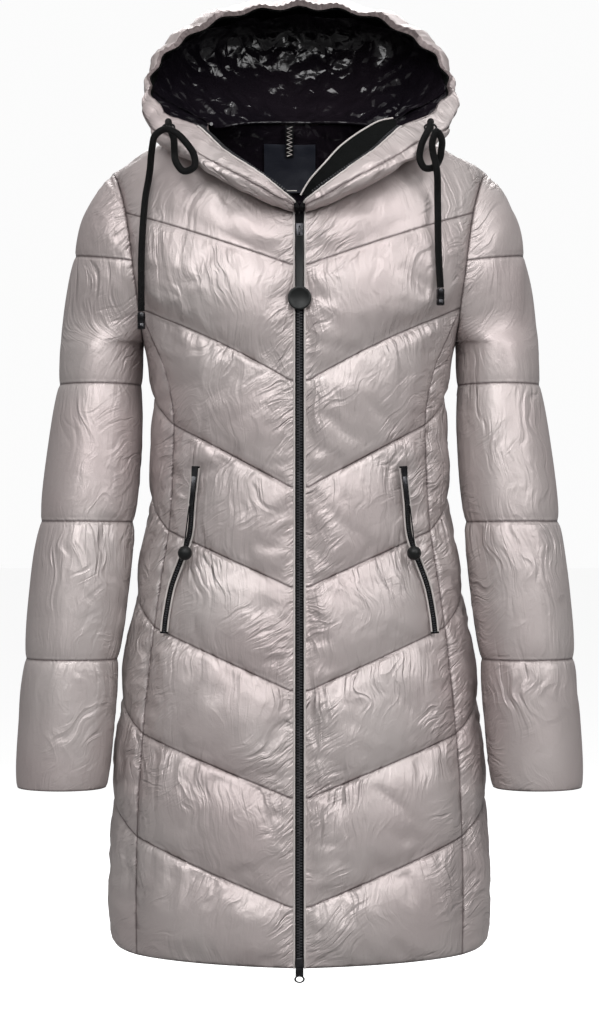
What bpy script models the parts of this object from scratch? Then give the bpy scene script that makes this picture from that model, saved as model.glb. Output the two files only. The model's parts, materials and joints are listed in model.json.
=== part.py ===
"""Hooded padded coat, quilted in chevrons, standing open as if worn.

Metres, +Z up, -Y is the front, +X the viewer's right. The origin is between the
shoulders, where the wearer carries the coat. Every sewn piece is one closed wall:
a plain inside and an outside raised into quilted channels.
"""
import math

import bmesh
import bpy
from mathutils import Matrix, Vector
from mathutils.bvhtree import BVHTree
from mathutils.kdtree import KDTree

# ---- driving dimensions ----
ZIP_HALF = 0.0045          # half the width of the closed front zip
PLACKET_EDGE = 0.0095      # stitching of the smooth strip beside the zip
WALL = 0.003               # wall at a stitched line
SEAM_GAP = 0.0002          # each piece stops this short of its seam
LAY_GAP = 0.0003           # between pieces that lie on each other
BODY_PUFF = 0.0085
CHEST_PUFF = 0.007
SIDE_PUFF = 0.007
SLEEVE_PUFF = 0.0055
HOOD_PUFF = 0.005
LINING = 0.001
EDGE_ROLL = 0.040          # a channel reaches its full height this far from a seam
SIDE_TURN = 0.86           # the side-front seam, as a share of the half width
SWING_Z = -0.30            # above this the side-front seam swings out to the armhole
CHEST_Z = -0.19            # above this the front and back lean in to the shoulder
SHOULDER_RUN = 0.24        # length along the front that leans in, over a quarter turn
NECK_X, NECK_Z = 0.10, 0.045   # where the shoulder seam meets the neck
SHOULDER_X = 0.203
SHOULDER_FALL = 0.55       # slope of the shoulder seam
FRONT_LEAN, BACK_LEAN = 2.2, 3.0
CHANNEL = (0.0, 0.13, 0.50, 0.87)  # rows of each quilted channel, as shares of its height
DOME_POWER, DOME_SIDE = 2.6, 0.6   # a channel's section, from flat-topped to round
# Wall left under the arm and at the neck, and how far the pressing reaches: wall, filling.
ARM_WALL, ARM_REACH, ARM_FILL = 0.26, 0.045, 0.09
NECK_WALL, NECK_REACH, NECK_FILL = 0.5, 0.03, 0.06
MERGE = 0.00005            # points nearer than this are one point

# Torso under the quilting: height, half width, front depth, back depth, squareness.
BODY = (
    (-0.860, 0.1995, 0.140, 0.132, 2.3),
    (-0.790, 0.2005, 0.139, 0.131, 2.3),
    (-0.677, 0.1970, 0.134, 0.127, 2.3),
    (-0.545, 0.1840, 0.126, 0.120, 2.3),
    (-0.461, 0.1710, 0.119, 0.114, 2.3),
    (-0.390, 0.1590, 0.115, 0.110, 2.35),
    (-0.304, 0.1540, 0.116, 0.109, 2.5),
    (-0.240, 0.1555, 0.120, 0.111, 2.7),
    (-0.190, 0.1680, 0.123, 0.113, 3.0),
    (-0.120, 0.1850, 0.124, 0.114, 3.2),
    (-0.050, 0.2050, 0.125, 0.115, 3.2),
    (0.120, 0.2400, 0.126, 0.116, 3.2),
)
# Stitched lines: height at the centre front, at the side-front seam, at the side
# seam and at the centre back. The first is the hem.
LINES = (
    (-0.860, -0.855, -0.850, -0.850),
    (-0.796, -0.729, -0.684, -0.735),
    (-0.682, -0.6195, -0.575, -0.625),
    (-0.570, -0.5055, -0.460, -0.512),
    (-0.461, -0.402, -0.357, -0.408),
    (-0.355, -0.288, -0.246, -0.298),
)
# The two lines above the underarm: centre front, centre back.
HIGH_LINES = ((-0.2425, -0.190), (-0.1207, -0.085))
LOW_SHARE = 0.42           # share of the back's long channel that lies below the underarm
ROWS = len(CHANNEL)
UNDERARM_ROW = ROWS * len(LINES)
TOP_ROW = UNDERARM_ROW + 2 * ROWS
CAP = TOP_ROW - UNDERARM_ROW + ROWS      # armhole points from underarm to shoulder tip

# Armhole from the underarm up the front and up the back: step of CAP, x, y, z.
ARMHOLE_FRONT = (
    (0, 0.1710, 0.000, -0.196),
    (1, 0.1710, -0.020, -0.194),
    (2, 0.1712, -0.039, -0.186),
    (4, 0.1730, -0.063, -0.162),
    (6, 0.1780, -0.068, -0.112),
    (8, 0.1860, -0.055, -0.060),
    (10, 0.1950, -0.030, -0.029),
    (12, SHOULDER_X, 0.000, -0.0117),
)
ARMHOLE_BACK = (
    (0, 0.1710, 0.000, -0.196),
    (1, 0.1712, 0.019, -0.194),
    (2, 0.1718, 0.037, -0.186),
    (4, 0.1745, 0.059, -0.160),
    (6, 0.1800, 0.066, -0.112),
    (8, 0.1870, 0.056, -0.065),
    (10, 0.1955, 0.031, -0.032),
    (12, SHOULDER_X, 0.000, -0.0117),
)
# Neckline from the zip to the shoulder seam, then on to the centre back: x, z.
NECK_FRONT = ((ZIP_HALF, -0.064), (PLACKET_EDGE, -0.0625), (0.032, -0.054),
              (0.060, -0.037), (0.080, -0.014), (0.091, 0.008), (0.097, 0.027),
              (0.0995, 0.0405), (NECK_X, NECK_Z))
NECK_BACK = ((0.098, 0.0448), (0.088, 0.0475), (0.068, 0.0525), (0.036, 0.0560),
             (0.0, 0.057))
SHOULDER_STEPS = 4
FRONT_COLS = len(NECK_FRONT) - 1 + SHOULDER_STEPS
BACK_COLS = len(NECK_BACK) + SHOULDER_STEPS
SIDE_COLS = 4
# The pocket zip: height, distance from the middle.
POCKET = ((-0.333, 0.1100), (-0.370, 0.1140), (-0.405, 0.1170), (-0.430, 0.1250),
          (-0.460, 0.1360), (-0.490, 0.1420), (-0.511, 0.1445))
POCKET_COL = 9
POCKET_FADE = 0.12         # the column returns to its even place over this height
POCKET_PRESS = 0.03        # the filling is pressed down this far beside the pocket zip
POCKET_END = 0.012         # and this far past its ends
POCKET_LIFT = 0.0015
POCKET_STEPS = 18

# Sleeve sections at the armhole: step of CAP, outermost x and z.
CAP_OUTER = ((0, 0.2560, -0.206), (2, 0.2535, -0.183), (4, 0.2495, -0.146),
             (6, 0.2427, -0.102), (8, 0.2330, -0.066), (10, 0.2180, -0.036),
             (11, 0.2110, -0.0245), (12, SHOULDER_X, -0.0117))
# Sleeve tube under the quilting: height, outermost x, centre y, half width, half depth.
SLEEVE = (
    (-0.679, 0.3015, -0.052, 0.0445, 0.0490),
    (-0.610, 0.2965, -0.048, 0.0445, 0.0500),
    (-0.540, 0.2925, -0.044, 0.0460, 0.0520),
    (-0.465, 0.2855, -0.038, 0.0465, 0.0530),
    (-0.392, 0.2775, -0.030, 0.0465, 0.0540),
    (-0.315, 0.2680, -0.018, 0.0440, 0.0550),
    (-0.243, 0.2595, -0.006, 0.0415, 0.0570),
    (-0.196, 0.2550, 0.000, 0.0420, 0.0600),
)
SLEEVE_LINES = (-0.679, -0.540, -0.392, -0.243)
SLEEVE_COLS = 14

# Hood and collar, one side: step round the neck seam, how far the cloth stands off the
# body there and spreads over it, the bulge's control point and the free edge (the zip
# edge up to ZIP_END, then the hood's rim).
HOOD = (
    (0, 0.008, 0.000, (0.0072, -0.133, -0.0610), (0.0062, -0.1290, -0.0550)),
    (2, 0.014, 0.006, (0.0330, -0.144, -0.0540), (0.0275, -0.1330, -0.0390)),
    (3, 0.018, 0.012, (0.0680, -0.150, -0.0400), (0.0550, -0.1270, -0.0190)),
    (4, 0.022, 0.018, (0.1060, -0.142, -0.0300), (0.0810, -0.1100, 0.0010)),
    (5, 0.019, 0.022, (0.1440, -0.124, -0.0170), (0.1085, -0.0760, 0.0300)),
    (6, 0.022, 0.027, (0.1683, -0.090, 0.0050), (0.1420, -0.0500, 0.0465)),
    (7, 0.027, 0.025, (0.1766, -0.055, 0.0350), (0.1600, -0.0260, 0.0730)),
    (8, 0.036, 0.019, (0.1702, -0.015, 0.0720), (0.1620, -0.0050, 0.0960)),
    (9, 0.045, 0.019, (0.1732, 0.035, 0.1150), (0.1480, 0.0120, 0.1230)),
    (10, 0.050, 0.020, (0.1618, 0.095, 0.1550), (0.1220, 0.0230, 0.1450)),
    (11, 0.055, 0.020, (0.1305, 0.150, 0.1900), (0.0870, 0.0310, 0.1660)),
    (12, 0.055, 0.020, (0.0768, 0.190, 0.2200), (0.0430, 0.0360, 0.1775)),
    (13, 0.055, 0.020, (0.0000, 0.205, 0.2350), (0.0000, 0.0380, 0.1800)),
)
HOOD_SPLIT = 2             # hood columns for each step of the neck seam
HOOD_ROWS = 9
FACING_ROW = 7             # the drawcord tunnel runs from this row to the rim
ZIP_END = 5                # step of HOOD where the zip edge ends
RIM_WAVE = 0.0022          # gathers along the rim

LINING_IN = 16             # hood columns the lining leaves out each side
YOKE_ROW, YOKE_IN = 29, 3  # the neck lining: first row of the back, columns left out a side
# Each front is sewn of three pieces, parted at stitched lines: name, first and last row.
FRONT_PIECES = (("front_hem", 0, 2 * ROWS), ("front", 2 * ROWS, UNDERARM_ROW),
                ("front_chest", UNDERARM_ROW, TOP_ROW))
TAPE_W, TAPE_T, TAPE_GAP = 0.0038, 0.0018, 0.0004
# Sliders of the front zip: name, height, length, stand-off from the tapes.
SLIDERS = (("zip_slider", -0.087, 0.020, 0.0012), ("zip_slider_low", -0.8550, 0.013, LAY_GAP))
SLIDER_W, SLIDER_D, SLIDER_REACH = 0.0085, 0.0045, 0.0015
PULL_HINGE, PULL_LEAN = (0.0, -0.1284, -0.0905), math.radians(2.5)
PULL_STRAP, PULL_T, PULL_DISC, PULL_DROP = 0.0075, 0.0022, 0.025, 0.0660
DISC_STEPS = 28
RING_HINGE, RING_R, RING_WIRE, RING_OVAL = (0.0, -0.1480, -0.8590), 0.0068, 0.0009, 0.85
POCKET_W, POCKET_T = 0.0085, 0.0012
POCKET_SLIDER, POCKET_TAB = (0.006, 0.0036, 0.011), (0.005, 0.0016, 0.030)
STRAND_R, STRAND_HALF = 0.0007, 0.0016
POCKET_HINGE = (0.1115, -0.1110, -0.3438)
POCKET_LEAN, POCKET_DROP, BALL_R = 0.12, 0.082, 0.0076
LABEL_X, LABEL_Z, LABEL_T = (-0.040, 0.018), (-0.019, 0.034), 0.0008
LOOP_X, LOOP_Z = (-0.0158, -0.0068), (0.0200, 0.0540)
LOOP_T, LOOP_BOW = 0.001, 0.003
FLAP_T, FLAP_IN, FLAP_START, FLAP_ROWS = 0.0014, 0.0018, 2, 3
PIPING_R = 0.0010
# Free edge of the wind flap, one point for each hood column from FLAP_START.
FLAP = ((0.0020, -0.1180, -0.0470), (0.0070, -0.1170, -0.0380), (0.0130, -0.1160, -0.0290),
        (0.0280, -0.1130, -0.0120), (0.0420, -0.1070, 0.0040), (0.0560, -0.1000, 0.0160),
        (0.0700, -0.0860, 0.0270), (0.0860, -0.0740, 0.0370))
CORD_R, TIP_R, TIP_LENGTH = 0.0037, 0.0043, 0.018
EYELET_R, EYELET_WIRE, EYELET_OUT = 0.0062, 0.0011, 0.0024
# Each drawcord: its route from the eyelet round the knot's loop and down, its tip, the
# eyelet's place and the way the eyelet faces.
CORDS = (
    ("left",
     ((-0.1400, -0.0818, 0.0291), (-0.1400, -0.0862, 0.0334), (-0.1396, -0.0955, 0.0338),
      (-0.1380, -0.1045, 0.0262), (-0.1331, -0.1116, 0.0126),
      (-0.1322, -0.1151, -0.0024), (-0.1302, -0.1232, -0.0127), (-0.1216, -0.1289, -0.0230),
      (-0.1106, -0.1294, -0.0182), (-0.1115, -0.1294, -0.0049), (-0.1199, -0.1289, 0.0076),
      (-0.1296, -0.1256, 0.0175), (-0.1416, -0.1204, 0.0226), (-0.1527, -0.1160, 0.0164),
      (-0.1560, -0.1086, 0.0059), (-0.1579, -0.0988, -0.0044), (-0.1593, -0.0901, -0.0148),
      (-0.1614, -0.0872, -0.0281), (-0.1636, -0.0914, -0.0414), (-0.1649, -0.0962, -0.0548),
      (-0.1668, -0.1006, -0.0832), (-0.1680, -0.1012, -0.1116), (-0.1682, -0.1012, -0.1401),
      (-0.1682, -0.0990, -0.1685)),
     (-0.1400, -0.0807, 0.0280), (0.0, -0.7, 0.7)),
    ("right",
     ((0.1400, -0.0818, 0.0291), (0.1400, -0.0862, 0.0334), (0.1396, -0.0955, 0.0338),
      (0.1380, -0.1045, 0.0262), (0.1321, -0.1158, 0.0142),
      (0.1284, -0.1159, 0.0044), (0.1270, -0.1159, -0.0076), (0.1324, -0.1156, -0.0179),
      (0.1423, -0.1130, -0.0167), (0.1483, -0.1066, -0.0081), (0.1501, -0.1101, 0.0008),
      (0.1504, -0.1175, 0.0115), (0.1451, -0.1208, 0.0199), (0.1403, -0.1201, 0.0092),
      (0.1409, -0.1173, -0.0013), (0.1433, -0.1198, -0.0116), (0.1453, -0.1196, -0.0235),
      (0.1461, -0.1135, -0.0324), (0.1464, -0.1080, -0.0413), (0.1465, -0.1106, -0.0638),
      (0.1465, -0.1146, -0.0863), (0.1471, -0.1157, -0.1102), (0.1490, -0.1160, -0.1445)),
     (0.1400, -0.0807, 0.0280), (0.0, -0.7, 0.7)),
)

SHELL_COLOUR = (0.46, 0.41, 0.40)
BLACK_COLOUR = (0.012, 0.012, 0.014)


# ---- curves and tables ----
def hermite(rows, key):
    """Smooth value of a table at key: rows hold a key, then one or more columns."""
    if key <= rows[0][0]:
        return rows[0][1:]
    if key >= rows[-1][0]:
        return rows[-1][1:]
    i = next(n for n in range(len(rows) - 1) if key <= rows[n + 1][0])
    span = rows[i + 1][0] - rows[i][0]
    t = (key - rows[i][0]) / span

    def slope(n, column):
        low, high = max(n - 1, 0), min(n + 1, len(rows) - 1)
        return (rows[high][column] - rows[low][column]) / (rows[high][0] - rows[low][0])

    out = []
    for column in range(1, len(rows[0])):
        a, b = rows[i][column], rows[i + 1][column]
        ma, mb = slope(i, column) * span, slope(i + 1, column) * span
        out.append(a + t * (ma + t * (3 * (b - a) - 2 * ma - mb + t * (2 * (a - b) + ma + mb))))
    return tuple(out)


def mix(a, b, t):
    return a + (b - a) * t


def ease(t):
    t = min(max(t, 0.0), 1.0)
    return t * t * (3 - 2 * t)


def bezier(a, b, c, d, t):
    s = 1 - t
    return a * s ** 3 + b * (3 * s * s * t) + c * (3 * s * t * t) + d * t ** 3


def mirrored(p):
    return Vector((-p.x, p.y, p.z))


# ---- the torso's form ----
def shoulder_z(x):
    return NECK_Z - SHOULDER_FALL * (abs(x) - NECK_X)


def torso(x, z, back=False):
    """The point of the front or back at a place in the front view."""
    half, front, rear, square = hermite(BODY, z)
    depth = rear if back else front
    across = max(0.0, 1 - min(abs(x) / half, 1) ** square) ** (1 / square)
    if z > CHEST_Z:
        lean = BACK_LEAN if back else FRONT_LEAN
        up = min((z - CHEST_Z) / (shoulder_z(x) - CHEST_Z), 1)
        across *= max(0.0, 1 - up ** lean) ** (1 / lean)
    return Vector((x, (1 if back else -1) * depth * across, z))


def ring(turn, z):
    """The point at turn degrees round from the centre front, at one height."""
    half, front, rear, square = hermite(BODY, z)
    s, c = math.sin(math.radians(turn)), math.cos(math.radians(turn))
    depth = rear if c < 0 else front
    x = math.copysign(half * abs(s) ** (2 / square), s)
    return Vector((x, -math.copysign(depth * abs(c) ** (2 / square), c), z))


def run_of(x, z, back=False):
    """Distance up the cloth, which counts the lean over the shoulder too."""
    if z <= CHEST_Z:
        return z
    lean = BACK_LEAN if back else FRONT_LEAN
    up = min((z - CHEST_Z) / (shoulder_z(x) - CHEST_Z), 1)
    return CHEST_Z + SHOULDER_RUN * math.asin(up ** (lean / 2))


def height_of(x, run, back=False):
    if run <= CHEST_Z:
        return run
    lean = BACK_LEAN if back else FRONT_LEAN
    turn = min((run - CHEST_Z) / SHOULDER_RUN, math.pi / 2)
    return CHEST_Z + (shoulder_z(x) - CHEST_Z) * math.sin(turn) ** (2 / lean)


def channel_row(row):
    """The channel that a row lies in, and how far up it."""
    return row // ROWS, CHANNEL[row % ROWS]


def seam_x(z):
    return hermite(BODY, z)[0] * SIDE_TURN


def pocket_share(z):
    """Share of the front's width at which the pocket's column runs."""
    even = (POCKET_COL - 1) / (FRONT_COLS - 1)
    low, high = POCKET[-1][0], POCKET[0][0]
    rows = tuple(reversed(POCKET))
    inside = min(max(z, low), high)
    share = (hermite(rows, inside)[0] - PLACKET_EDGE) / (seam_x(inside) - PLACKET_EDGE)
    away = max(z - high, low - z, 0.0)
    return mix(share, even, ease(away / POCKET_FADE))


def armhole(table, step):
    return Vector(hermite(table, step))


def front_grid():
    """Points of the viewer's right front, from the hem up, from the zip out."""
    corner = armhole(ARMHOLE_FRONT, ROWS)
    ends = [line[:2] for line in LINES] + [(HIGH_LINES[0][0], corner.z)]
    grid = []
    for row in range(TOP_ROW + 1):
        if row > UNDERARM_ROW:
            grid.append([high_front_point(row, col) for col in range(FRONT_COLS + 1)])
            continue
        channel, up = channel_row(row)
        low, high = ends[channel], ends[min(channel + 1, len(ends) - 1)]
        mid_z, out_z = mix(low[0], high[0], up), mix(low[1], high[1], up)
        grid.append([front_point(col, mid_z, out_z) for col in range(FRONT_COLS + 1)])
    return grid


def column_x(col, z, out_x):
    """Where a column of the front runs: one of them follows the pocket zip."""
    if col == 0:
        return ZIP_HALF
    share = (col - 1) / (FRONT_COLS - 1)
    even, wanted = (POCKET_COL - 1) / (FRONT_COLS - 1), pocket_share(z)
    if share <= even:
        share *= wanted / even
    else:
        share = mix(wanted, 1, (share - even) / (1 - even))
    return mix(PLACKET_EDGE, out_x, share)


def front_point(col, mid_z, out_z):
    """A point below the corner where the side-front seam meets the armhole."""
    out_x = seam_x(out_z)
    x = column_x(col, mix(mid_z, out_z, 0.75), out_x)
    share = max(x - PLACKET_EDGE, 0) / (out_x - PLACKET_EDGE)
    corner = armhole(ARMHOLE_FRONT, ROWS)
    swing = corner - torso(seam_x(corner.z), corner.z)
    turned = max(0.0, (out_z - SWING_Z) / (corner.z - SWING_Z)) ** 2
    return torso(x, mix(mid_z, out_z, share)) + swing * turned * share ** 3


def high_front_point(row, col):
    """A point above the corner where the side-front seam meets the armhole."""
    step = row - UNDERARM_ROW + ROWS
    end = armhole(ARMHOLE_FRONT, step)
    a_end = armhole(ARMHOLE_FRONT, 2 * ROWS)
    a_z = HIGH_LINES[1][0]
    if row <= UNDERARM_ROW + ROWS:
        up = (row - UNDERARM_ROW) / ROWS
        up = CHANNEL[(row - UNDERARM_ROW) % ROWS] if up < 1 else 1.0
        x = column_x(col, end.z, end.x)
        share = max(x - PLACKET_EDGE, 0) / (end.x - PLACKET_EDGE)
        mid_z = mix(HIGH_LINES[0][0], a_z, up)
        z = mix(mid_z, end.z, share)
        p = torso(x, z)
    else:
        up = (row - UNDERARM_ROW - ROWS) / ROWS
        if col < len(NECK_FRONT):
            top_x, top_z = NECK_FRONT[col]
        else:
            top_x = mix(NECK_X, SHOULDER_X, (col - len(NECK_FRONT) + 1) / SHOULDER_STEPS)
            top_z = shoulder_z(top_x)
        low_x = column_x(col, a_end.z, a_end.x)
        low_share = max(low_x - PLACKET_EDGE, 0) / (a_end.x - PLACKET_EDGE)
        low_run = run_of(low_x, mix(a_z, a_end.z, low_share))
        out_x = mix(low_x, top_x, up)
        share = (col / FRONT_COLS) ** 3
        x = mix(out_x, out_x + end.x - mix(a_end.x, SHOULDER_X, up), share)
        z = height_of(x, mix(low_run, run_of(top_x, top_z), up))
        p = torso(x, z)
    edge = torso(end.x, end.z)
    if row > UNDERARM_ROW + ROWS and col == FRONT_COLS:
        return end
    if row < TOP_ROW:
        p += (end - edge) * (col / FRONT_COLS) ** 4
    return p


def side_seam(row):
    """The side seam's point of a row, up to the underarm."""
    channel, up = channel_row(row)
    top = armhole(ARMHOLE_FRONT, 0)
    if row == UNDERARM_ROW:
        return top
    if channel + 1 < len(LINES):
        return ring(90, mix(LINES[channel][2], LINES[channel + 1][2], up))
    low = ring(90, LINES[channel][2])
    return low.lerp(top, up)


def side_grid(front):
    """Points of the side panel, from the side-front seam round to the side seam."""
    grid = []
    line_row = UNDERARM_ROW - ROWS
    top = [armhole(ARMHOLE_FRONT, ROWS - col) for col in range(SIDE_COLS + 1)]
    for row in range(UNDERARM_ROW + 1):
        start, end = front[row][FRONT_COLS], side_seam(row)
        if row <= line_row:
            half, _, _, square = hermite(BODY, start.z)
            first = math.degrees(math.asin(min(start.x / half, 1) ** (square / 2)))
            points = [start]
            for col in range(1, SIDE_COLS + 1):
                share = col / SIDE_COLS
                points.append(ring(mix(first, 90, share), mix(start.z, end.z, share)))
        else:
            up = channel_row(row)[1] if row < UNDERARM_ROW else 1.0
            points = []
            for col in range(SIDE_COLS + 1):
                share = col / SIDE_COLS
                line = grid[line_row]
                p = line[col].lerp(top[col], up)
                p += (start - line[0].lerp(top[0], up)) * (1 - share)
                p += (end - line[-1].lerp(top[-1], up)) * share
                points.append(p)
        grid.append(points)
    return grid


def back_middle(row):
    """The height of a row below the underarm at the centre back."""
    channel, up = channel_row(row)
    low = LINES[channel][3]
    if channel + 1 < len(LINES):
        return mix(low, LINES[channel + 1][3], up)
    return mix(low, HIGH_LINES[0][1], up * LOW_SHARE)


def back_grid():
    """Points of the whole back, from the hem up, from the left side seam round."""
    rows = UNDERARM_ROW + 3 * ROWS
    c_line = LINES[-1][3]
    half_rows = []
    for row in range(rows + 1):
        points = []
        step = row - UNDERARM_ROW
        for col in range(BACK_COLS + 1):
            share = col / BACK_COLS
            if row < UNDERARM_ROW:
                end = side_seam(row)
                z = mix(back_middle(row), end.z, share)
                half, _, _, square = hermite(BODY, z)
                p = torso(half * math.sin(math.pi / 2 * share) ** (2 / square), z, True)
                if row > UNDERARM_ROW - ROWS:
                    p += (end - ring(90, end.z)) * share ** 4
                points.append(end if col == BACK_COLS else p)
                continue
            end = armhole(ARMHOLE_BACK, step)
            even = ease(step / 5)
            fan = math.sin(math.pi / 2 * share) ** (2 / 2.3)
            x = end.x * mix(fan, share, even)
            if step <= ROWS:
                part = mix(LOW_SHARE, 1, CHANNEL[step] if step < ROWS else 1.0)
                mid_z = mix(c_line, HIGH_LINES[0][1], part)
                z = mix(mid_z, end.z, share)
            elif step <= 2 * ROWS:
                part = CHANNEL[step % ROWS] if step < 2 * ROWS else 1.0
                z = mix(mix(HIGH_LINES[0][1], HIGH_LINES[1][1], part), end.z, share)
            else:
                up = (step - 2 * ROWS) / ROWS
                a_end = armhole(ARMHOLE_BACK, 2 * ROWS)
                top = back_top(col)
                low_x = a_end.x * share
                low_run = run_of(low_x, mix(HIGH_LINES[1][1], a_end.z, share), True)
                x = mix(low_x, top[0], up) + (end.x - mix(a_end.x, SHOULDER_X, up)) * share ** 3
                z = height_of(x, mix(low_run, run_of(*top, True), up), True)
            p = torso(x, z, True)
            if col == BACK_COLS:
                p = end
            elif row < rows:
                p += (end - torso(end.x, end.z, True)) * share ** 4
            points.append(p)
        half_rows.append(points)
    return [[mirrored(p) for p in reversed(r[1:])] + r for r in half_rows]


def back_top(col):
    """The neck and shoulder edge of the back, from the centre out: x, z."""
    neck = list(reversed(NECK_BACK)) + [NECK_FRONT[-1]]
    if col < len(neck):
        return neck[col]
    x = mix(NECK_X, SHOULDER_X, (col - len(neck) + 1) / SHOULDER_STEPS)
    return x, shoulder_z(x)


# ---- the sleeve ----
def sleeve_grid():
    """Points of one sleeve, cuff up, from the underarm seam forward and round."""
    heights = []
    for low, high in zip(SLEEVE_LINES, SLEEVE_LINES[1:]):
        heights += [mix(low, high, up) for up in CHANNEL]
    heights += [SLEEVE_LINES[-1], mix(SLEEVE_LINES[-1], SLEEVE[-1][0], 0.5)]
    grid = []
    for z in heights:
        outer, mid_y, half, deep = hermite(SLEEVE, z)
        points = []
        for col in range(SLEEVE_COLS + 1):
            turn = 2 * math.pi * col / SLEEVE_COLS
            points.append(Vector((outer - half - half * math.cos(turn),
                                  mid_y - deep * math.sin(turn), z)))
        points[-1] = points[0].copy()
        grid.append(points)
    outer0, _, half0, deep0 = SLEEVE[-1][1:]
    for step in range(CAP + 1):
        front, back = armhole(ARMHOLE_FRONT, step), armhole(ARMHOLE_BACK, step)
        out_x, out_z = hermite(CAP_OUTER, step)
        inner = (front + back) / 2
        opening = math.radians(90) * ease(step / 6)
        deep = mix(deep0, abs(front.y - back.y) / 2, ease(step / 6))
        centre_x = mix((out_x + inner.x) / 2, inner.x, math.sin(opening))
        wide = out_x - centre_x
        points = []
        for col in range(SLEEVE_COLS + 1):
            share = col / SLEEVE_COLS
            turn = mix(opening, 2 * math.pi - opening, share)
            inward = max(0.0, abs(2 * share - 1)) ** 1.5
            z = mix(out_z, mix(front.z, back.z, share), inward)
            p = Vector((centre_x - wide * math.cos(turn),
                        -deep * math.sin(turn), z))
            points.append(p)
        first, last = front - points[0], back - points[-1]
        for col, p in enumerate(points):
            share = col / SLEEVE_COLS
            p += first * max(0, 1 - 2 * share) ** 3 + last * max(0, 2 * share - 1) ** 3
        if step == CAP:
            points = [front.copy() for _ in points]
        points[0], points[-1] = front.copy(), back.copy()
        grid.append(points)
    return grid


# ---- hood and collar ----
def neck_points():
    """The neck seam of one side, from the zip to the centre back."""
    points = [torso(x, z) for x, z in NECK_FRONT]
    points[-1] = Vector((NECK_X, 0, NECK_Z))
    return points + [torso(x, z, True) for x, z in NECK_BACK]


def hood_grid(body_outward):
    """Points of the hood, neck seam up, from the right zip edge round to the left."""
    neck = neck_points()
    table = [(*row[:3], *row[3], *row[4]) for row in HOOD]
    steps = (len(neck) - 1) * HOOD_SPLIT
    half = []
    for i in range(steps + 1):
        at = i / HOOD_SPLIT
        low = int(at)
        start = neck[low].lerp(neck[min(low + 1, len(neck) - 1)], at - low)
        lift, spread, *rest = hermite(table, at)
        off_body = body_outward(neck[low]).lerp(body_outward(neck[min(low + 1, len(neck) - 1)]),
                                                at - low)
        away = Vector((start.x, start.y, 0))
        over = (away - off_body * away.dot(off_body)).normalized()
        one = start + off_body * lift + over * spread
        two, rim = Vector(rest[:3]), Vector(rest[3:])
        wave = RIM_WAVE * math.cos(math.pi * i) * ease((at - ZIP_END) / 1.5)
        out = (rim - Vector((0, 0.05, 0.06))).normalized()
        column = []
        for row in range(HOOD_ROWS + 1):
            t = row / HOOD_ROWS
            column.append(bezier(start, one, two, rim, t) + out * wave * ease((t - 0.5) * 2))
        half.append(column)
    for p in half[-1]:
        p.x = 0.0
    left = [[mirrored(p) for p in column] for column in reversed(half[:-1])]
    columns = half + left
    return [[column[row] for column in columns] for row in range(HOOD_ROWS + 1)]


# ---- quilting ----
def dome(t):
    """A channel's section: steep beside the stitching and full in the middle."""
    return max(0.0, 1 - abs(2 * t - 1) ** DOME_POWER) ** DOME_SIDE


def rolled(distance):
    return math.sqrt(max(0.0, 1 - (1 - min(distance / EDGE_ROLL, 1)) ** 2))


def along(points):
    """Distances along a row of points."""
    out = [0.0]
    for a, b in zip(points, points[1:]):
        out.append(out[-1] + (b - a).length)
    return out


def crowded(grid, heights):
    """Wall heights, thinner where pieces press together under the arm and at the neck."""
    low = [armhole(table, step / 2) for table in (ARMHOLE_FRONT, ARMHOLE_BACK)
           for step in range(2 * ROWS + 1)]
    neck = neck_points()
    neck += [a.lerp(b, 0.5) for a, b in zip(neck, neck[1:])]
    out = []
    for points, lifts in zip(grid, heights):
        line = []
        for p, lift in zip(points, lifts):
            q = Vector((abs(p.x), p.y, p.z))
            arm = min((q - a).length for a in low)
            collar = min((q - a).length for a in neck)
            wall_share = (mix(ARM_WALL, 1, ease(arm / ARM_REACH))
                          * mix(NECK_WALL, 1, ease(collar / NECK_REACH)))
            line.append(WALL * wall_share
                        + lift * ease(arm / ARM_FILL) * ease(collar / NECK_FILL))
        out.append(line)
    return out


def quilted(grid, puff, flat_start=0):
    """Heights of the outer points over the wall, for a grid of channels."""
    heights = []
    for row, points in enumerate(grid):
        up = dome(CHANNEL[row % ROWS])
        run = along(points)
        line = []
        for col in range(len(points)):
            near = rolled(max(0.0, run[col] - run[flat_start]))
            line.append(puff(row) * up * near * rolled(run[-1] - run[col]))
        heights.append(line)
    return heights


def body_puff(row):
    return CHEST_PUFF if row > UNDERARM_ROW + ROWS else BODY_PUFF


def front_heights(grid):
    heights = quilted(grid, body_puff, flat_start=1)
    heights[-1] = [0.0] * len(heights[-1])
    for row, points in enumerate(grid):
        z = points[POCKET_COL].z
        inside = min(POCKET[0][0] - z, z - POCKET[-1][0]) + POCKET_END
        if inside > 0:
            for col, p in enumerate(points):
                away = abs(p.x - points[POCKET_COL].x)
                pressed = min(away / POCKET_PRESS, 1) ** 0.7
                heights[row][col] *= mix(1, pressed, ease(inside / (2 * POCKET_END)))
                if col == POCKET_COL:
                    heights[row][col] = max(heights[row][col], POCKET_LIFT)
    return heights


def back_heights(grid):
    """The back's rows: one long channel stands on either side of the underarm."""
    heights = []
    for row, points in enumerate(grid):
        step = row - UNDERARM_ROW
        t = CHANNEL[row % ROWS]
        if -ROWS < step <= 0:
            t = LOW_SHARE * (CHANNEL[row % ROWS] if step < 0 else 1.0)
        elif 0 < step < ROWS:
            t = mix(LOW_SHARE, 1, CHANNEL[step])
        run = along(points)
        base = CHEST_PUFF if step > 2 * ROWS else BODY_PUFF
        line = []
        for col in range(len(points)):
            edge = rolled(run[col]) * rolled(run[-1] - run[col])
            line.append(base * dome(t) * edge)
        heights.append(line)
    return heights


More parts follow.
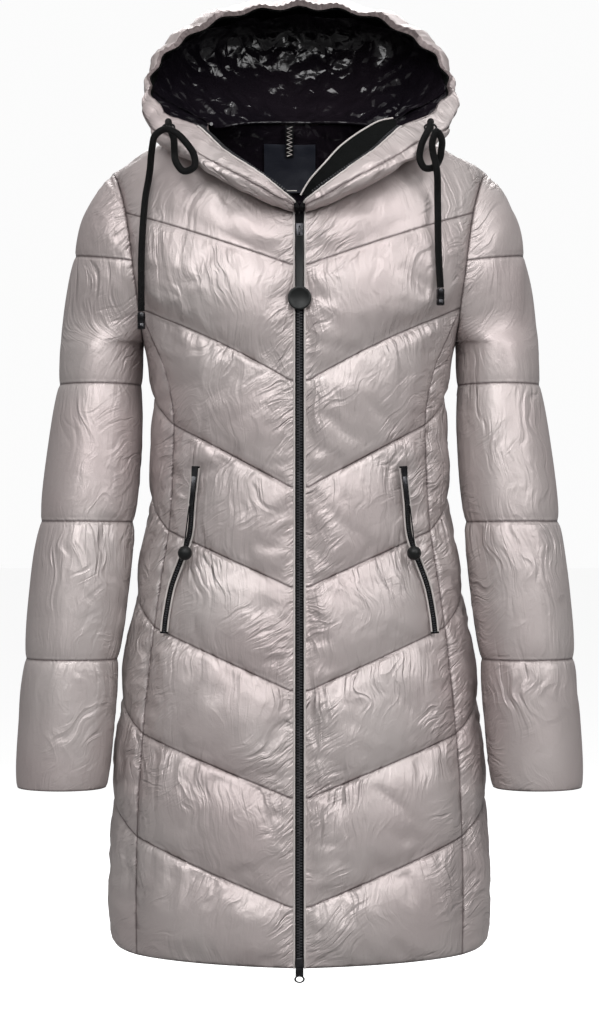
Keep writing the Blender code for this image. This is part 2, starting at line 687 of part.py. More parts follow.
def sleeve_heights(grid):
    """Channels down the sleeve, with one on either side of the underarm."""
    tube_rows = len(SLEEVE_LINES[:-1]) * ROWS
    middle = tube_rows + 2 + CAP // 2
    heights = []
    for row, points in enumerate(grid):
        if row <= tube_rows:
            t = CHANNEL[row % ROWS]
        elif row <= middle:
            t = (row - tube_rows) / (middle - tube_rows)
        else:
            t = (row - middle) / (len(grid) - 1 - middle)
        run = along(points)
        line = []
        for col in range(len(points)):
            lift = SLEEVE_PUFF * dome(t)
            if row > tube_rows + 2:
                lift *= rolled(run[col]) * rolled(run[-1] - run[col])
            line.append(lift)
        heights.append(line)
    return heights


def hood_heights(grid):
    """The hood's shell is puffed between the neck seam and the tunnel."""
    heights = []
    last = len(grid[0]) - 1
    for row, points in enumerate(grid):
        t = row / HOOD_ROWS
        line = []
        for col in range(last + 1):
            reach = min(col, last - col) / (2.5 * HOOD_SPLIT)
            line.append(HOOD_PUFF * dome(t) * ease(t / 0.5) * min(1, 0.25 + 0.75 * reach))
        heights.append(line)
    return heights


# ---- from grids to solids ----
def grid_mesh(grid):
    """A bmesh sheet whose points are those of a grid, row by row."""
    rows, cols = len(grid) - 1, len(grid[0]) - 1
    bm = bmesh.new()
    bmesh.ops.create_grid(bm, x_segments=cols, y_segments=rows, size=1)
    bm.verts.ensure_lookup_table()
    flat = [p for row in grid for p in row]
    for v, p in zip(bm.verts, flat):
        v.co = p
    return bm


def shell_normals(grids):
    """Outward directions of pieces, shared along their seams, as a look-up by place."""
    whole = bmesh.new()
    for grid in grids:
        bm = grid_mesh(grid)
        mesh = bpy.data.meshes.new("sheet")
        bm.to_mesh(mesh)
        bm.free()
        whole.from_mesh(mesh)
        bpy.data.meshes.remove(mesh)
    bmesh.ops.remove_doubles(whole, verts=whole.verts[:], dist=MERGE)
    bmesh.ops.recalc_face_normals(whole, faces=whole.faces[:])
    whole.normal_update()
    front = min(whole.verts, key=lambda v: v.co.y)
    turn = -1 if front.normal.y > 0 else 1
    tree = KDTree(len(whole.verts))
    normals = []
    for i, v in enumerate(whole.verts):
        tree.insert(v.co, i)
        normals.append(v.normal * turn)
    tree.balance()
    whole.free()

    def look_up(p):
        _, i, far = tree.find(p)
        return normals[i], far
    return look_up


def joined(first, second):
    """Directions of two sets of pieces, halfway between where they are sewn together."""
    def look_up(p):
        (a, far_a), (b, far_b) = first(p), second(p)
        if max(far_a, far_b) < MERGE:
            return (a + b).normalized()
        return (a if far_a < far_b else b).copy()
    return look_up


def pulled_back(grid, tube):
    """The grid with its outline drawn in by the seam gap."""
    rows, cols = len(grid) - 1, len(grid[0]) - 1
    out = [[p.copy() for p in row] for row in grid]
    for i in range(rows + 1):
        for j in range(cols + 1):
            pulls = []
            if i in (0, rows):
                pulls.append(grid[1 if i == 0 else rows - 1][j] - grid[i][j])
            if j in (0, cols) and not tube(i):
                pulls.append(grid[i][1 if j == 0 else cols - 1] - grid[i][j])
            for pull in pulls:
                out[i][j] += pull.normalized() * SEAM_GAP
    return out


def wall(name, grid, heights, outward, mat, tube=lambda row: False, inner=0.0, blend=None):
    """A closed wall from inner to its raised outer points, as an object."""
    directions = [[outward(p).copy() for p in row] for row in grid]
    if blend:
        blend(directions)
    base = pulled_back(grid, tube)
    bm = grid_mesh([[p + d * inner for p, d in zip(r, dr)] for r, dr in zip(base, directions)])
    flat = [(p, d, h) for r, dr, hr in zip(base, directions, heights)
            for p, d, h in zip(r, dr, hr)]
    layer = bm.verts.layers.int.new("place")
    for i, v in enumerate(bm.verts):
        v[layer] = i
    bmesh.ops.remove_doubles(bm, verts=bm.verts[:], dist=MERGE)
    new = bmesh.ops.extrude_face_region(bm, geom=bm.faces[:])["geom"]
    for v in new:
        if isinstance(v, bmesh.types.BMVert):
            p, d, h = flat[v[layer]]
            v.co = p + d * h
    bmesh.ops.recalc_face_normals(bm, faces=bm.faces[:])
    return finish(name, bm, mat)


def finish(name, bm, mat, smooth=True):
    mesh = bpy.data.meshes.new(name)
    bm.to_mesh(mesh)
    bm.free()
    if smooth:
        mesh.shade_smooth()
    return filed(bpy.data.objects.new(name, mesh), name, mat)


def filed(obj, name, mat):
    """Names an object, gives it its material and files it with the part."""
    obj.name = obj.data.name = name
    for home in list(obj.users_collection):
        home.objects.unlink(obj)
    PART.objects.link(obj)
    obj.data.materials.append(mat)
    return obj


def even_heights(grid, thickness):
    return [[thickness] * len(row) for row in grid]


# ---- materials ----
def material(name, colour, roughness, metallic=0.0):
    mat = bpy.data.materials.new(name)
    mat.use_nodes = True
    shader = mat.node_tree.nodes["Principled BSDF"]
    shader.inputs["Base Color"].default_value = (*colour, 1)
    shader.inputs["Roughness"].default_value = roughness
    shader.inputs["Metallic"].default_value = metallic
    mat.diffuse_color = (*colour, 1)
    return mat


def flip(grid):
    return [[mirrored(p) for p in row] for row in grid]


def share_seam(directions):
    """Evens the outward directions of the points between those of the neck seam."""
    first = directions[0]
    for i in range(1, len(first) - 1, HOOD_SPLIT):
        first[i] = (first[i - 1] + first[i + 1]) / 2


def build_cloth():
    """The sewn panels and their linings. Returns the grids that the trim is laid on."""
    right = front_grid()
    side = side_grid(right)
    back = back_grid()
    sleeve = sleeve_grid()
    tube_top = len(SLEEVE_LINES[:-1]) * ROWS + 2
    body = [right, flip(right), side, flip(side), back]
    on_body = shell_normals(body + [sleeve, flip(sleeve)])
    hood = hood_grid(lambda p: on_body(p)[0])
    outward = joined(on_body, shell_normals([hood]))
    front_lift = crowded(right, front_heights(right))
    side_lift = quilted(side, lambda row: SIDE_PUFF)
    side_lift[-1] = [0.0] * len(side_lift[-1])
    side_lift = crowded(side, side_lift)
    sleeve_lift = crowded(sleeve, sleeve_heights(sleeve))
    for hand, turn in (("right", list), ("left", flip)):
        for name, low, high in FRONT_PIECES:
            rows = slice(low, high + 1)
            wall(f"{name}_{hand}", turn(right)[rows], front_lift[rows], outward, SHELL)
        wall(f"side_{hand}", turn(side), side_lift, outward, SHELL)
        wall(f"sleeve_{hand}", turn(sleeve), sleeve_lift, outward, SHELL,
             tube=lambda row: row <= tube_top)
    wall("back", back, crowded(back, back_heights(back)), outward, SHELL)
    wall("hood", hood, crowded(hood, hood_heights(hood)), outward, SHELL, blend=share_seam)

    inside = [r[LINING_IN:-LINING_IN] for r in hood[:FACING_ROW + 1]]
    yoke = [r[YOKE_IN:-YOKE_IN] for r in back[YOKE_ROW:]]
    under = -LAY_GAP
    for name, grid, blend in (("hood_lining", inside, share_seam),
                              ("hood_facing", hood[FACING_ROW:], None),
                              ("neck_lining", yoke, None)):
        wall(name, grid, even_heights(grid, under), outward, BLACK,
             inner=under - LINING, blend=blend)
    return right, hood, outward


def block(name, centre, size, mat, tilt=(0, 0, 0), bevel=0.0006):
    """A small box with rounded edges."""
    bpy.ops.mesh.primitive_cube_add(size=1)
    obj = filed(bpy.context.object, name, mat)
    for v in obj.data.vertices:
        v.co = Vector((v.co.x * size[0], v.co.y * size[1], v.co.z * size[2]))
    obj.location, obj.rotation_euler = centre, tilt
    rounding = obj.modifiers.new("Rounded", "BEVEL")
    rounding.width, rounding.segments = bevel, 1
    return obj


def poly_curve(name, points, closed=False):
    curve = bpy.data.curves.new(name, "CURVE")
    spline = curve.splines.new("POLY")
    spline.points.add(len(points) - 1)
    for place, p in zip(spline.points, points):
        place.co = (*p, 1)
    spline.use_cyclic_u = closed
    return curve


def tube(name, points, radius, mat):
    """A round cord along points."""
    curve = poly_curve(name, points)
    curve.dimensions = "3D"
    curve.bevel_depth, curve.bevel_resolution, curve.use_fill_caps = radius, 2, True
    return filed(bpy.data.objects.new(name, curve), name, mat)


def smooth_route(points, spacing):
    """Evenly spaced points of a smooth curve through a route's own points."""
    route = [Vector(p) for p in points]
    keys = along(route)
    table = [(k, *p) for k, p in zip(keys, route)]
    count = max(2, round(keys[-1] / spacing))
    return [Vector(hermite(table, keys[-1] * i / count)) for i in range(count + 1)]


def ribbon(name, stations, mat):
    """A closed strip through stations of four corners each."""
    bm = grid_mesh([[*corners, corners[0]] for corners in stations])
    bmesh.ops.remove_doubles(bm, verts=bm.verts[:], dist=MERGE)
    bmesh.ops.holes_fill(bm, edges=[e for e in bm.edges if e.is_boundary], sides=4)
    bmesh.ops.recalc_face_normals(bm, faces=bm.faces[:])
    return finish(name, bm, mat, smooth=False)


def build_zip(front, hood, outward):
    """Each side's tape: up the front edge, then along the open edge of the collar."""
    closed = [row[0] for row in front[::2]]
    stub = [hood[row][0] for row in (3, 6)]
    stations = []
    for p in closed + stub:
        lift = outward(p).copy()
        lift.x = 0
        lift = lift.normalized() * TAPE_T
        near, far = p - Vector((TAPE_GAP, 0, 0)), Vector((TAPE_GAP / 2, p.y, p.z))
        stations.append([near, far, far + lift, near + lift])
    for col in range(ZIP_END * HOOD_SPLIT + 1):
        rim, below = hood[-1][col], hood[-2][col]
        toward = (rim - below).normalized()
        lift = outward(rim).normalized() * TAPE_T
        near, far = rim + toward * TAPE_GAP, rim + toward * (TAPE_GAP + TAPE_W)
        far.x = max(far.x, TAPE_GAP / 2)
        stations.append([near, far, far + lift, near + lift])
    ribbon("zip_tape_right", stations, BLACK)
    ribbon("zip_tape_left", flip(stations), BLACK)


def cast(obj, x, z, reach=0.0):
    """How far forward an object comes at a place, or near it within reach."""
    mesh = obj.data
    tree = BVHTree.FromPolygons([v.co for v in mesh.vertices],
                                [tuple(p.vertices) for p in mesh.polygons])
    around = [(i, j) for i in (-1, 0, 1) for j in (-1, 0, 1)] if reach else [(0, 0)]
    hits = [tree.ray_cast(Vector((x + i * reach, -0.3, z + j * reach)), Vector((0, 1, 0)))[0]
            for i, j in around]
    return min(h.y for h in hits if h)


def build_sliders():
    """The main slider with its pull, and the lower slider with its ring."""
    tape = bpy.data.objects["zip_tape_right"]
    middle = ZIP_HALF / 2
    for name, z, height, gap in SLIDERS:
        top = cast(tape, middle, z + height / 2 - SLIDER_REACH, SLIDER_REACH)
        foot = cast(tape, middle, z - height / 2 + 2 * SLIDER_REACH, SLIDER_REACH)
        place = (0, (top + foot) / 2 - SLIDER_D / 2 - gap, z)
        block(name, place, (SLIDER_W, SLIDER_D, height), METAL,
              (math.atan2(foot - top, height), 0, 0), 0.001)
    half, radius = PULL_STRAP / 2, PULL_DISC / 2
    start = math.asin(half / radius)
    turns = [mix(start, 2 * math.pi - start, i / DISC_STEPS) for i in range(DISC_STEPS + 1)]
    points = [(-half, 0, 0), (half, 0, 0)]
    points += [(radius * math.sin(a), -PULL_DROP + radius * math.cos(a), 0) for a in turns]
    outline = poly_curve("zip_pull", points, closed=True)
    outline.dimensions, outline.fill_mode = "2D", "BOTH"
    outline.extrude = PULL_T / 2
    pull = filed(bpy.data.objects.new("zip_pull", outline), "zip_pull", RUBBER)
    pull.location = PULL_HINGE
    pull.rotation_euler = (math.pi / 2 - PULL_LEAN, 0, 0)
    bpy.ops.mesh.primitive_torus_add(major_radius=RING_R, minor_radius=RING_WIRE,
                                     major_segments=20, minor_segments=6)
    ring = filed(bpy.context.object, "zip_ring_low", METAL)
    for v in ring.data.vertices:
        v.co = Vector((v.co.x * RING_OVAL, v.co.z, v.co.y - RING_R))
    ring.data.flip_normals()
    ring.location = RING_HINGE


def pocket_stations(panel, sign):
    """Corners of a pocket zip's strip, from its foot up, laid on the front."""
    table = POCKET[::-1]
    low, high, step = table[0][0], table[-1][0], 0.004
    stations = []
    for i in range(POCKET_STEPS + 1):
        z = mix(low, high, i / POCKET_STEPS)
        x = hermite(table, z)[0]
        slope = hermite(table, min(z + step, high))[0] - hermite(table, max(z - step, low))[0]
        across = Vector((1, 0, -slope / (2 * step))).normalized() * POCKET_W / 2
        y = cast(panel, sign * x, z, POCKET_W * 0.75) - 2 * LAY_GAP
        near, far = [Vector((sign * (x + across.x * side), y, z + across.z * side))
                     for side in (-1, 1)]
        lift = Vector((0, -POCKET_T, 0))
        stations.append([near, far, far + lift, near + lift])
    return stations


def build_pockets():
    """Pocket zips laid in the fronts, with their sliders and hanging pulls."""
    for hand, sign in (("right", 1), ("left", -1)):
        panel = bpy.data.objects[f"front_{hand}"]
        strip = ribbon(f"pocket_zip_{hand}", pocket_stations(panel, sign), BLACK)
        hinge = Vector((sign * POCKET_HINGE[0], *POCKET_HINGE[1:]))
        z = hinge.z + POCKET_SLIDER[2] / 2 - 0.0005
        face = cast(strip, hinge.x, z, 0.003)
        block(f"pocket_slider_{hand}", (hinge.x, face - POCKET_SLIDER[1] / 2 - LAY_GAP - 0.0001, z),
              POCKET_SLIDER, METAL)
        lean = Vector((sign * POCKET_LEAN, -0.03, -1)).normalized()
        length = POCKET_TAB[2]
        tab = block(f"pocket_tab_{hand}", hinge + lean * (length / 2 + LAY_GAP), POCKET_TAB,
                    METAL, (-0.03, math.atan2(-lean.x, -lean.z), 0), 0.0005)
        top = hinge + lean * (length + LAY_GAP + STRAND_R + LAY_GAP)
        foot = hinge + lean * (POCKET_DROP - BALL_R - LAY_GAP)
        side = Vector((-lean.z, 0, lean.x)).normalized() * STRAND_HALF
        arc = [top + side * math.sin(a) + lean * STRAND_HALF * (1 - math.cos(a))
               for a in (math.radians(d) for d in (-90, -45, 0, 45, 90))]
        cord = tube(f"pocket_cord_{hand}", [foot - side] + arc + [foot + side], STRAND_R, BLACK)
        bpy.ops.mesh.primitive_uv_sphere_add(segments=12, ring_count=6, radius=BALL_R,
                                             location=hinge + lean * POCKET_DROP)
        ball = filed(bpy.context.object, f"pocket_ball_{hand}", RUBBER)
        pivot = bpy.data.objects.new(f"pocket_hinge_{hand}", None)
        PART.objects.link(pivot)
        pivot.location = hinge
        for hung in (tab, cord, ball):
            hung.parent = pivot
            hung.matrix_parent_inverse = Matrix.Translation(-hinge)


def laid_strip(name, under, xs, zs, cols, rows, off, thick, bow=0.0):
    """A strip laid on the inside of the back, bowed out between its ends."""
    tree = BVHTree.FromObject(under, bpy.context.evaluated_depsgraph_get())
    near = (-0.004, 0, 0.004)
    grid = []
    for i in range(rows + 1):
        z = mix(*zs, i / rows)
        bulge = off + bow * math.sin(math.pi * i / rows)
        row = []
        for x in (mix(*xs, j / cols) for j in range(cols + 1)):
            hits = [tree.ray_cast(Vector((x + dx, -0.02, z + dz)), Vector((0, 1, 0)))[0]
                    for dx in near for dz in near]
            row.append(Vector((x, min(h.y for h in hits if h) - bulge, z)))
        grid.append(row)
    bm = grid_mesh(grid)
    new = bmesh.ops.extrude_face_region(bm, geom=bm.faces[:])["geom"]
    bmesh.ops.translate(bm, vec=(0, -thick, 0),
                        verts=[v for v in new if isinstance(v, bmesh.types.BMVert)])
    bmesh.ops.recalc_face_normals(bm, faces=bm.faces[:])
    finish(name, bm, BLACK)


def build_neck():
    """The label and the hanging loop at the back neck, laid on the lining."""
    lining = bpy.data.objects["neck_lining"]
    laid_strip("label", lining, LABEL_X, LABEL_Z, 3, 3, LAY_GAP, LABEL_T)
    laid_strip("hanging_loop", lining, LOOP_X, LOOP_Z, 1, 8, 4 * LAY_GAP + LABEL_T, LOOP_T,
               LOOP_BOW)


def build_flap(hood, outward):
    """The guard behind the viewer's right zip edge, with its piping."""
    cols = range(FLAP_START, len(FLAP) + FLAP_START)
    inner_edge = [hood[-1][c] - outward(hood[-1][c]) * FLAP_IN for c in cols]
    free = [Vector(p) for p in FLAP]
    grid = [[a.lerp(b, i / FLAP_ROWS) for a, b in zip(inner_edge, free)]
            for i in range(FLAP_ROWS + 1)]
    bm = grid_mesh(grid)
    bm.normal_update()
    lifts = [v.normal.copy() for v in bm.verts]
    turn = -1 if sum(n.y for n in lifts) < 0 else 1
    place = bm.verts.layers.int.new("place")
    for i, v in enumerate(bm.verts):
        v[place] = i
    new = bmesh.ops.extrude_face_region(bm, geom=bm.faces[:])["geom"]
    for v in new:
        if isinstance(v, bmesh.types.BMVert):
            v.co = v.co + lifts[v[place]] * turn * FLAP_T
    bmesh.ops.recalc_face_normals(bm, faces=bm.faces[:])
    finish("wind_flap", bm, BLACK)
    route = [b + (b - a).normalized() * (PIPING_R + 2 * LAY_GAP)
             for a, b in zip(inner_edge, free)]
    tube("flap_piping", smooth_route(route, 6 * PIPING_R), PIPING_R, SHELL)


def build_cords():
    """The drawcords' free ends, their tips and the eyelets they leave by."""
    for hand, route, eyelet, facing in CORDS:
        tube(f"drawcord_{hand}", smooth_route(route, 4 * CORD_R), CORD_R, BLACK)
        bpy.ops.mesh.primitive_cylinder_add(vertices=14, radius=TIP_R, depth=TIP_LENGTH)
        end = filed(bpy.context.object, f"cord_tip_{hand}", METAL)
        end.location = Vector(route[-1]) - Vector((0, 0, TIP_LENGTH / 2 + 3 * LAY_GAP))
        bpy.ops.mesh.primitive_torus_add(major_radius=EYELET_R, minor_radius=EYELET_WIRE,
                                         major_segments=14, minor_segments=5)
        ring = filed(bpy.context.object, f"eyelet_{hand}", METAL)
        ring.location = Vector(eyelet) + Vector(facing) * EYELET_OUT
        ring.rotation_euler = Vector(facing).to_track_quat("Z", "Y").to_euler()


for old in list(bpy.data.objects):
    bpy.data.objects.remove(old, do_unlink=True)
PART = bpy.data.collections.new("Hooded quilted coat")
bpy.context.scene.collection.children.link(PART)
SHELL = material("Glossy shell", SHELL_COLOUR, 0.35)
BLACK = material("Black trim", BLACK_COLOUR, 0.5)
METAL = material("Dark metal", (0.05, 0.05, 0.055), 0.35, 0.9)
RUBBER = material("Dark moulded trim", (0.02, 0.022, 0.021), 0.45)
FRONT, HOOD_SHEET, OUTWARD = build_cloth()
build_zip(FRONT, HOOD_SHEET, OUTWARD)
build_sliders()
build_pockets()
build_neck()
build_flap(HOOD_SHEET, OUTWARD)
build_cords()
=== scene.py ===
"""Hooded padded coat, quilted in chevrons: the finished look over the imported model."""

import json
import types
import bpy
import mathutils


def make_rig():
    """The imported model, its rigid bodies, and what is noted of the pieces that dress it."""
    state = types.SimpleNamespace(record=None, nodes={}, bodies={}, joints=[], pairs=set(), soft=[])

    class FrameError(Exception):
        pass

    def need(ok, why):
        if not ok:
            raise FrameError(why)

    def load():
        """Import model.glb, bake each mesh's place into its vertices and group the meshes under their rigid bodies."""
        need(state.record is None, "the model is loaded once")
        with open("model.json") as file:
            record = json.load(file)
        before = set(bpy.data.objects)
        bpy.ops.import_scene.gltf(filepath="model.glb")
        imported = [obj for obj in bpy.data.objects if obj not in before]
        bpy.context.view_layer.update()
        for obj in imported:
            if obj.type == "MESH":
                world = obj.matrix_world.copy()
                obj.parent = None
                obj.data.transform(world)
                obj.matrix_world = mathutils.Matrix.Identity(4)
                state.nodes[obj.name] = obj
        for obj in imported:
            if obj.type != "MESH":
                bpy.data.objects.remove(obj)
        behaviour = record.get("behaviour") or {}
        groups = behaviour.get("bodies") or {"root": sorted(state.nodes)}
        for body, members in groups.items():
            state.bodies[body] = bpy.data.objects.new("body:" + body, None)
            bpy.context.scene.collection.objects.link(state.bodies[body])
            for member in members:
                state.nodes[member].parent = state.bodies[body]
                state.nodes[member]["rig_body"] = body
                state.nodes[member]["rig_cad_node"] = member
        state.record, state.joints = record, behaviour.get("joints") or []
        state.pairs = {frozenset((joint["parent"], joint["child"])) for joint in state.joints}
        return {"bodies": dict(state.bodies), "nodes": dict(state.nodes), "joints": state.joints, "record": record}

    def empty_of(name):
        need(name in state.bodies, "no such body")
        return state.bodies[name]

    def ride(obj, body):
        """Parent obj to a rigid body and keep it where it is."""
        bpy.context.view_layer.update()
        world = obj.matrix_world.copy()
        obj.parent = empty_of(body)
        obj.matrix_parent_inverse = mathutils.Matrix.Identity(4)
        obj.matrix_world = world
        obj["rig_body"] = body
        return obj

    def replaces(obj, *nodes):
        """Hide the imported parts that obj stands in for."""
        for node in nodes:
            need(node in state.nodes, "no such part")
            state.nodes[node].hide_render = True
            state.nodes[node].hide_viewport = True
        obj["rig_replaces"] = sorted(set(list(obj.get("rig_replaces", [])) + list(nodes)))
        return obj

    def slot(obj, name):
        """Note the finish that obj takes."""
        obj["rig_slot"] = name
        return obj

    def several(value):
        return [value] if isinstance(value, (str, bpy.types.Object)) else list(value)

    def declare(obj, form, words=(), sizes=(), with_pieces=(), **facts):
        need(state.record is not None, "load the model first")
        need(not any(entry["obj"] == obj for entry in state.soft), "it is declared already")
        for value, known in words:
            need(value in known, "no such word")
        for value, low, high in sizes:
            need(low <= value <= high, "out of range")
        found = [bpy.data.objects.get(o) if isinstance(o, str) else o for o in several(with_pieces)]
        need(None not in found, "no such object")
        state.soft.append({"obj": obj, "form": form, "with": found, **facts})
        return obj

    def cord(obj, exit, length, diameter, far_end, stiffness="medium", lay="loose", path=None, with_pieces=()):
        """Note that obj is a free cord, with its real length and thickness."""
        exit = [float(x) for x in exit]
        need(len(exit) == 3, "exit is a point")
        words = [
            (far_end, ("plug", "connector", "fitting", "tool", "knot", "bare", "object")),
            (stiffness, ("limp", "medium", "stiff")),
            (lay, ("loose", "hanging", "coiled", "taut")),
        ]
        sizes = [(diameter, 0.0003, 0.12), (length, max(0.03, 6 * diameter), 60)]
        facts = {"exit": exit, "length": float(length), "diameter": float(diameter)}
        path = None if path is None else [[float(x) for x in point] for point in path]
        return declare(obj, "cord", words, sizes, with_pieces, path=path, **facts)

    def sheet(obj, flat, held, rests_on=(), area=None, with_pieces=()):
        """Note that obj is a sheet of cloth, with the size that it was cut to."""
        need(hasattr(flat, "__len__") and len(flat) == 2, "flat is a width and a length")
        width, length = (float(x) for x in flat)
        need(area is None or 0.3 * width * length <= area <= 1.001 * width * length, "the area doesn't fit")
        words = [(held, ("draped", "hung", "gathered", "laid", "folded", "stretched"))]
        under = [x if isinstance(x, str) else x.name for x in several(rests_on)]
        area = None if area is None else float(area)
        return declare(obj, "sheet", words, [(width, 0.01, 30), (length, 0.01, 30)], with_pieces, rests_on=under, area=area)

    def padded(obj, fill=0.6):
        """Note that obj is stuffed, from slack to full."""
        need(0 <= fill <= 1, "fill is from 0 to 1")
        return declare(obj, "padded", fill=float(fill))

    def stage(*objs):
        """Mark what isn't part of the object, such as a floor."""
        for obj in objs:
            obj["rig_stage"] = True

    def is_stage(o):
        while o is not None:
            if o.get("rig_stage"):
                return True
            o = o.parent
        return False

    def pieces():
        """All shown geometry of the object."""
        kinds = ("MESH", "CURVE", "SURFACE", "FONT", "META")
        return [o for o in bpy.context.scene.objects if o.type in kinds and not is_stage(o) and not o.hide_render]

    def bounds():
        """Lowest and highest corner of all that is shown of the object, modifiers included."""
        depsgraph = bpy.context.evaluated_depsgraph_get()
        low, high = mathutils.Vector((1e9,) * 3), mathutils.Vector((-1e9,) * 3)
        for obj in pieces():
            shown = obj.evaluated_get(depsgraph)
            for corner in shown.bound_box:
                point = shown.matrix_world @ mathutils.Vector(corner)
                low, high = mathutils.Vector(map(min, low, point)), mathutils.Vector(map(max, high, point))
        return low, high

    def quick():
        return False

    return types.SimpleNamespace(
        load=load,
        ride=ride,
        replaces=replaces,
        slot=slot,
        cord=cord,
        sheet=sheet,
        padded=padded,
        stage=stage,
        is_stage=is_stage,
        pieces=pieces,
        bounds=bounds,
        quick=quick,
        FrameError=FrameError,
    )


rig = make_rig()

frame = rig.load()

import json
import math

import bmesh
import bpy
from mathutils import Matrix, Vector, noise
from mathutils.bvhtree import BVHTree
from mathutils.kdtree import KDTree

CAD_BOX = [list(corner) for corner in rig.bounds()]
NODES = frame["nodes"]
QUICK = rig.quick()

# ---- camera: level, square on to the front ----
camera = bpy.data.objects.new("camera", bpy.data.cameras.new("camera"))
bpy.context.scene.collection.objects.link(camera)
camera.data.sensor_fit = "VERTICAL"
camera.data.sensor_height = 36
camera.data.lens = 95.9
camera.data.clip_end = 50
camera.location = (0.0, -3.0, -0.3817)
camera.rotation_euler = (math.radians(90), 0, 0)
bpy.context.scene.camera = camera

# ---- the coat's own dimensions, as its solids have them ----
ZIP_HALF = 0.0045          # half the width of the closed front zip
PLACKET_EDGE = 0.0095      # stitching of the smooth strip beside the zip
WALL = 0.003               # wall at a stitched line
SEAM_GAP = 0.0002          # each piece stops this short of its seam
LAY_GAP = 0.0003           # between pieces that lie on each other
BODY_PUFF = 0.0085
CHEST_PUFF = 0.007
SIDE_PUFF = 0.007
SLEEVE_PUFF = 0.0055
HOOD_PUFF = 0.005
LINING = 0.001
EDGE_ROLL = 0.040          # a channel reaches its full height this far from a seam
SIDE_TURN = 0.86           # the side-front seam, as a share of the half width
SWING_Z = -0.30            # above this the side-front seam swings out to the armhole
CHEST_Z = -0.19            # above this the front and back lean in to the shoulder
SHOULDER_RUN = 0.24        # length along the front that leans in, over a quarter turn
NECK_X, NECK_Z = 0.10, 0.045   # where the shoulder seam meets the neck
SHOULDER_X = 0.203
SHOULDER_FALL = 0.55       # slope of the shoulder seam
FRONT_LEAN, BACK_LEAN = 2.2, 3.0
CHANNEL = (0.0, 0.13, 0.50, 0.87)  # rows of each quilted channel, as shares of its height

# Torso under the quilting: height, half width, front depth, back depth, squareness.
BODY = (
    (-0.860, 0.1995, 0.140, 0.132, 2.3),
    (-0.790, 0.2005, 0.139, 0.131, 2.3),
    (-0.677, 0.1970, 0.134, 0.127, 2.3),
    (-0.545, 0.1840, 0.126, 0.120, 2.3),
    (-0.461, 0.1710, 0.119, 0.114, 2.3),
    (-0.390, 0.1590, 0.115, 0.110, 2.35),
    (-0.304, 0.1540, 0.116, 0.109, 2.5),
    (-0.240, 0.1555, 0.120, 0.111, 2.7),
    (-0.190, 0.1680, 0.123, 0.113, 3.0),
    (-0.120, 0.1850, 0.124, 0.114, 3.2),
    (-0.050, 0.2050, 0.125, 0.115, 3.2),
    (0.120, 0.2400, 0.126, 0.116, 3.2),
)
# Stitched lines: height at the centre front, at the side-front seam, at the side
# seam and at the centre back. The first is the hem.
LINES = (
    (-0.860, -0.855, -0.850, -0.850),
    (-0.796, -0.729, -0.684, -0.735),
    (-0.682, -0.6195, -0.575, -0.625),
    (-0.570, -0.5055, -0.460, -0.512),
    (-0.461, -0.402, -0.357, -0.408),
    (-0.355, -0.288, -0.246, -0.298),
)
# The two lines above the underarm: centre front, centre back.
HIGH_LINES = ((-0.2425, -0.190), (-0.1207, -0.085))
LOW_SHARE = 0.42           # share of the back's long channel that lies below the underarm
ROWS = len(CHANNEL)
UNDERARM_ROW = ROWS * len(LINES)
TOP_ROW = UNDERARM_ROW + 2 * ROWS
CAP = TOP_ROW - UNDERARM_ROW + ROWS      # armhole points from underarm to shoulder tip

# Armhole from the underarm up the front and up the back: step of CAP, x, y, z.
ARMHOLE_FRONT = (
    (0, 0.1710, 0.000, -0.196),
    (1, 0.1710, -0.020, -0.194),
    (2, 0.1712, -0.039, -0.186),
    (4, 0.1730, -0.063, -0.162),
    (6, 0.1780, -0.068, -0.112),
    (8, 0.1860, -0.055, -0.060),
    (10, 0.1950, -0.030, -0.029),
    (12, SHOULDER_X, 0.000, -0.0117),
)
ARMHOLE_BACK = (
    (0, 0.1710, 0.000, -0.196),
    (1, 0.1712, 0.019, -0.194),
    (2, 0.1718, 0.037, -0.186),
    (4, 0.1745, 0.059, -0.160),
    (6, 0.1800, 0.066, -0.112),
    (8, 0.1870, 0.056, -0.065),
    (10, 0.1955, 0.031, -0.032),
    (12, SHOULDER_X, 0.000, -0.0117),
)
# Neckline from the zip to the shoulder seam, then on to the centre back: x, z.
NECK_FRONT = ((ZIP_HALF, -0.064), (PLACKET_EDGE, -0.0625), (0.032, -0.054),
              (0.060, -0.037), (0.080, -0.014), (0.091, 0.008), (0.097, 0.027),
              (0.0995, 0.0405), (NECK_X, NECK_Z))
NECK_BACK = ((0.098, 0.0448), (0.088, 0.0475), (0.068, 0.0525), (0.036, 0.0560),
             (0.0, 0.057))
SHOULDER_STEPS = 4
FRONT_COLS = len(NECK_FRONT) - 1 + SHOULDER_STEPS
BACK_COLS = len(NECK_BACK) + SHOULDER_STEPS
SIDE_COLS = 4
# The pocket zip: height, distance from the middle.
POCKET = ((-0.333, 0.1100), (-0.370, 0.1140), (-0.405, 0.1170), (-0.430, 0.1250),
          (-0.460, 0.1360), (-0.490, 0.1420), (-0.511, 0.1445))
POCKET_COL = 9
POCKET_FADE = 0.12         # the column returns to its even place over this height

# Sleeve sections at the armhole: step of CAP, outermost x and z.
CAP_OUTER = ((0, 0.2560, -0.206), (2, 0.2535, -0.183), (4, 0.2495, -0.146),
             (6, 0.2427, -0.102), (8, 0.2330, -0.066), (10, 0.2180, -0.036),
             (11, 0.2110, -0.0245), (12, SHOULDER_X, -0.0117))
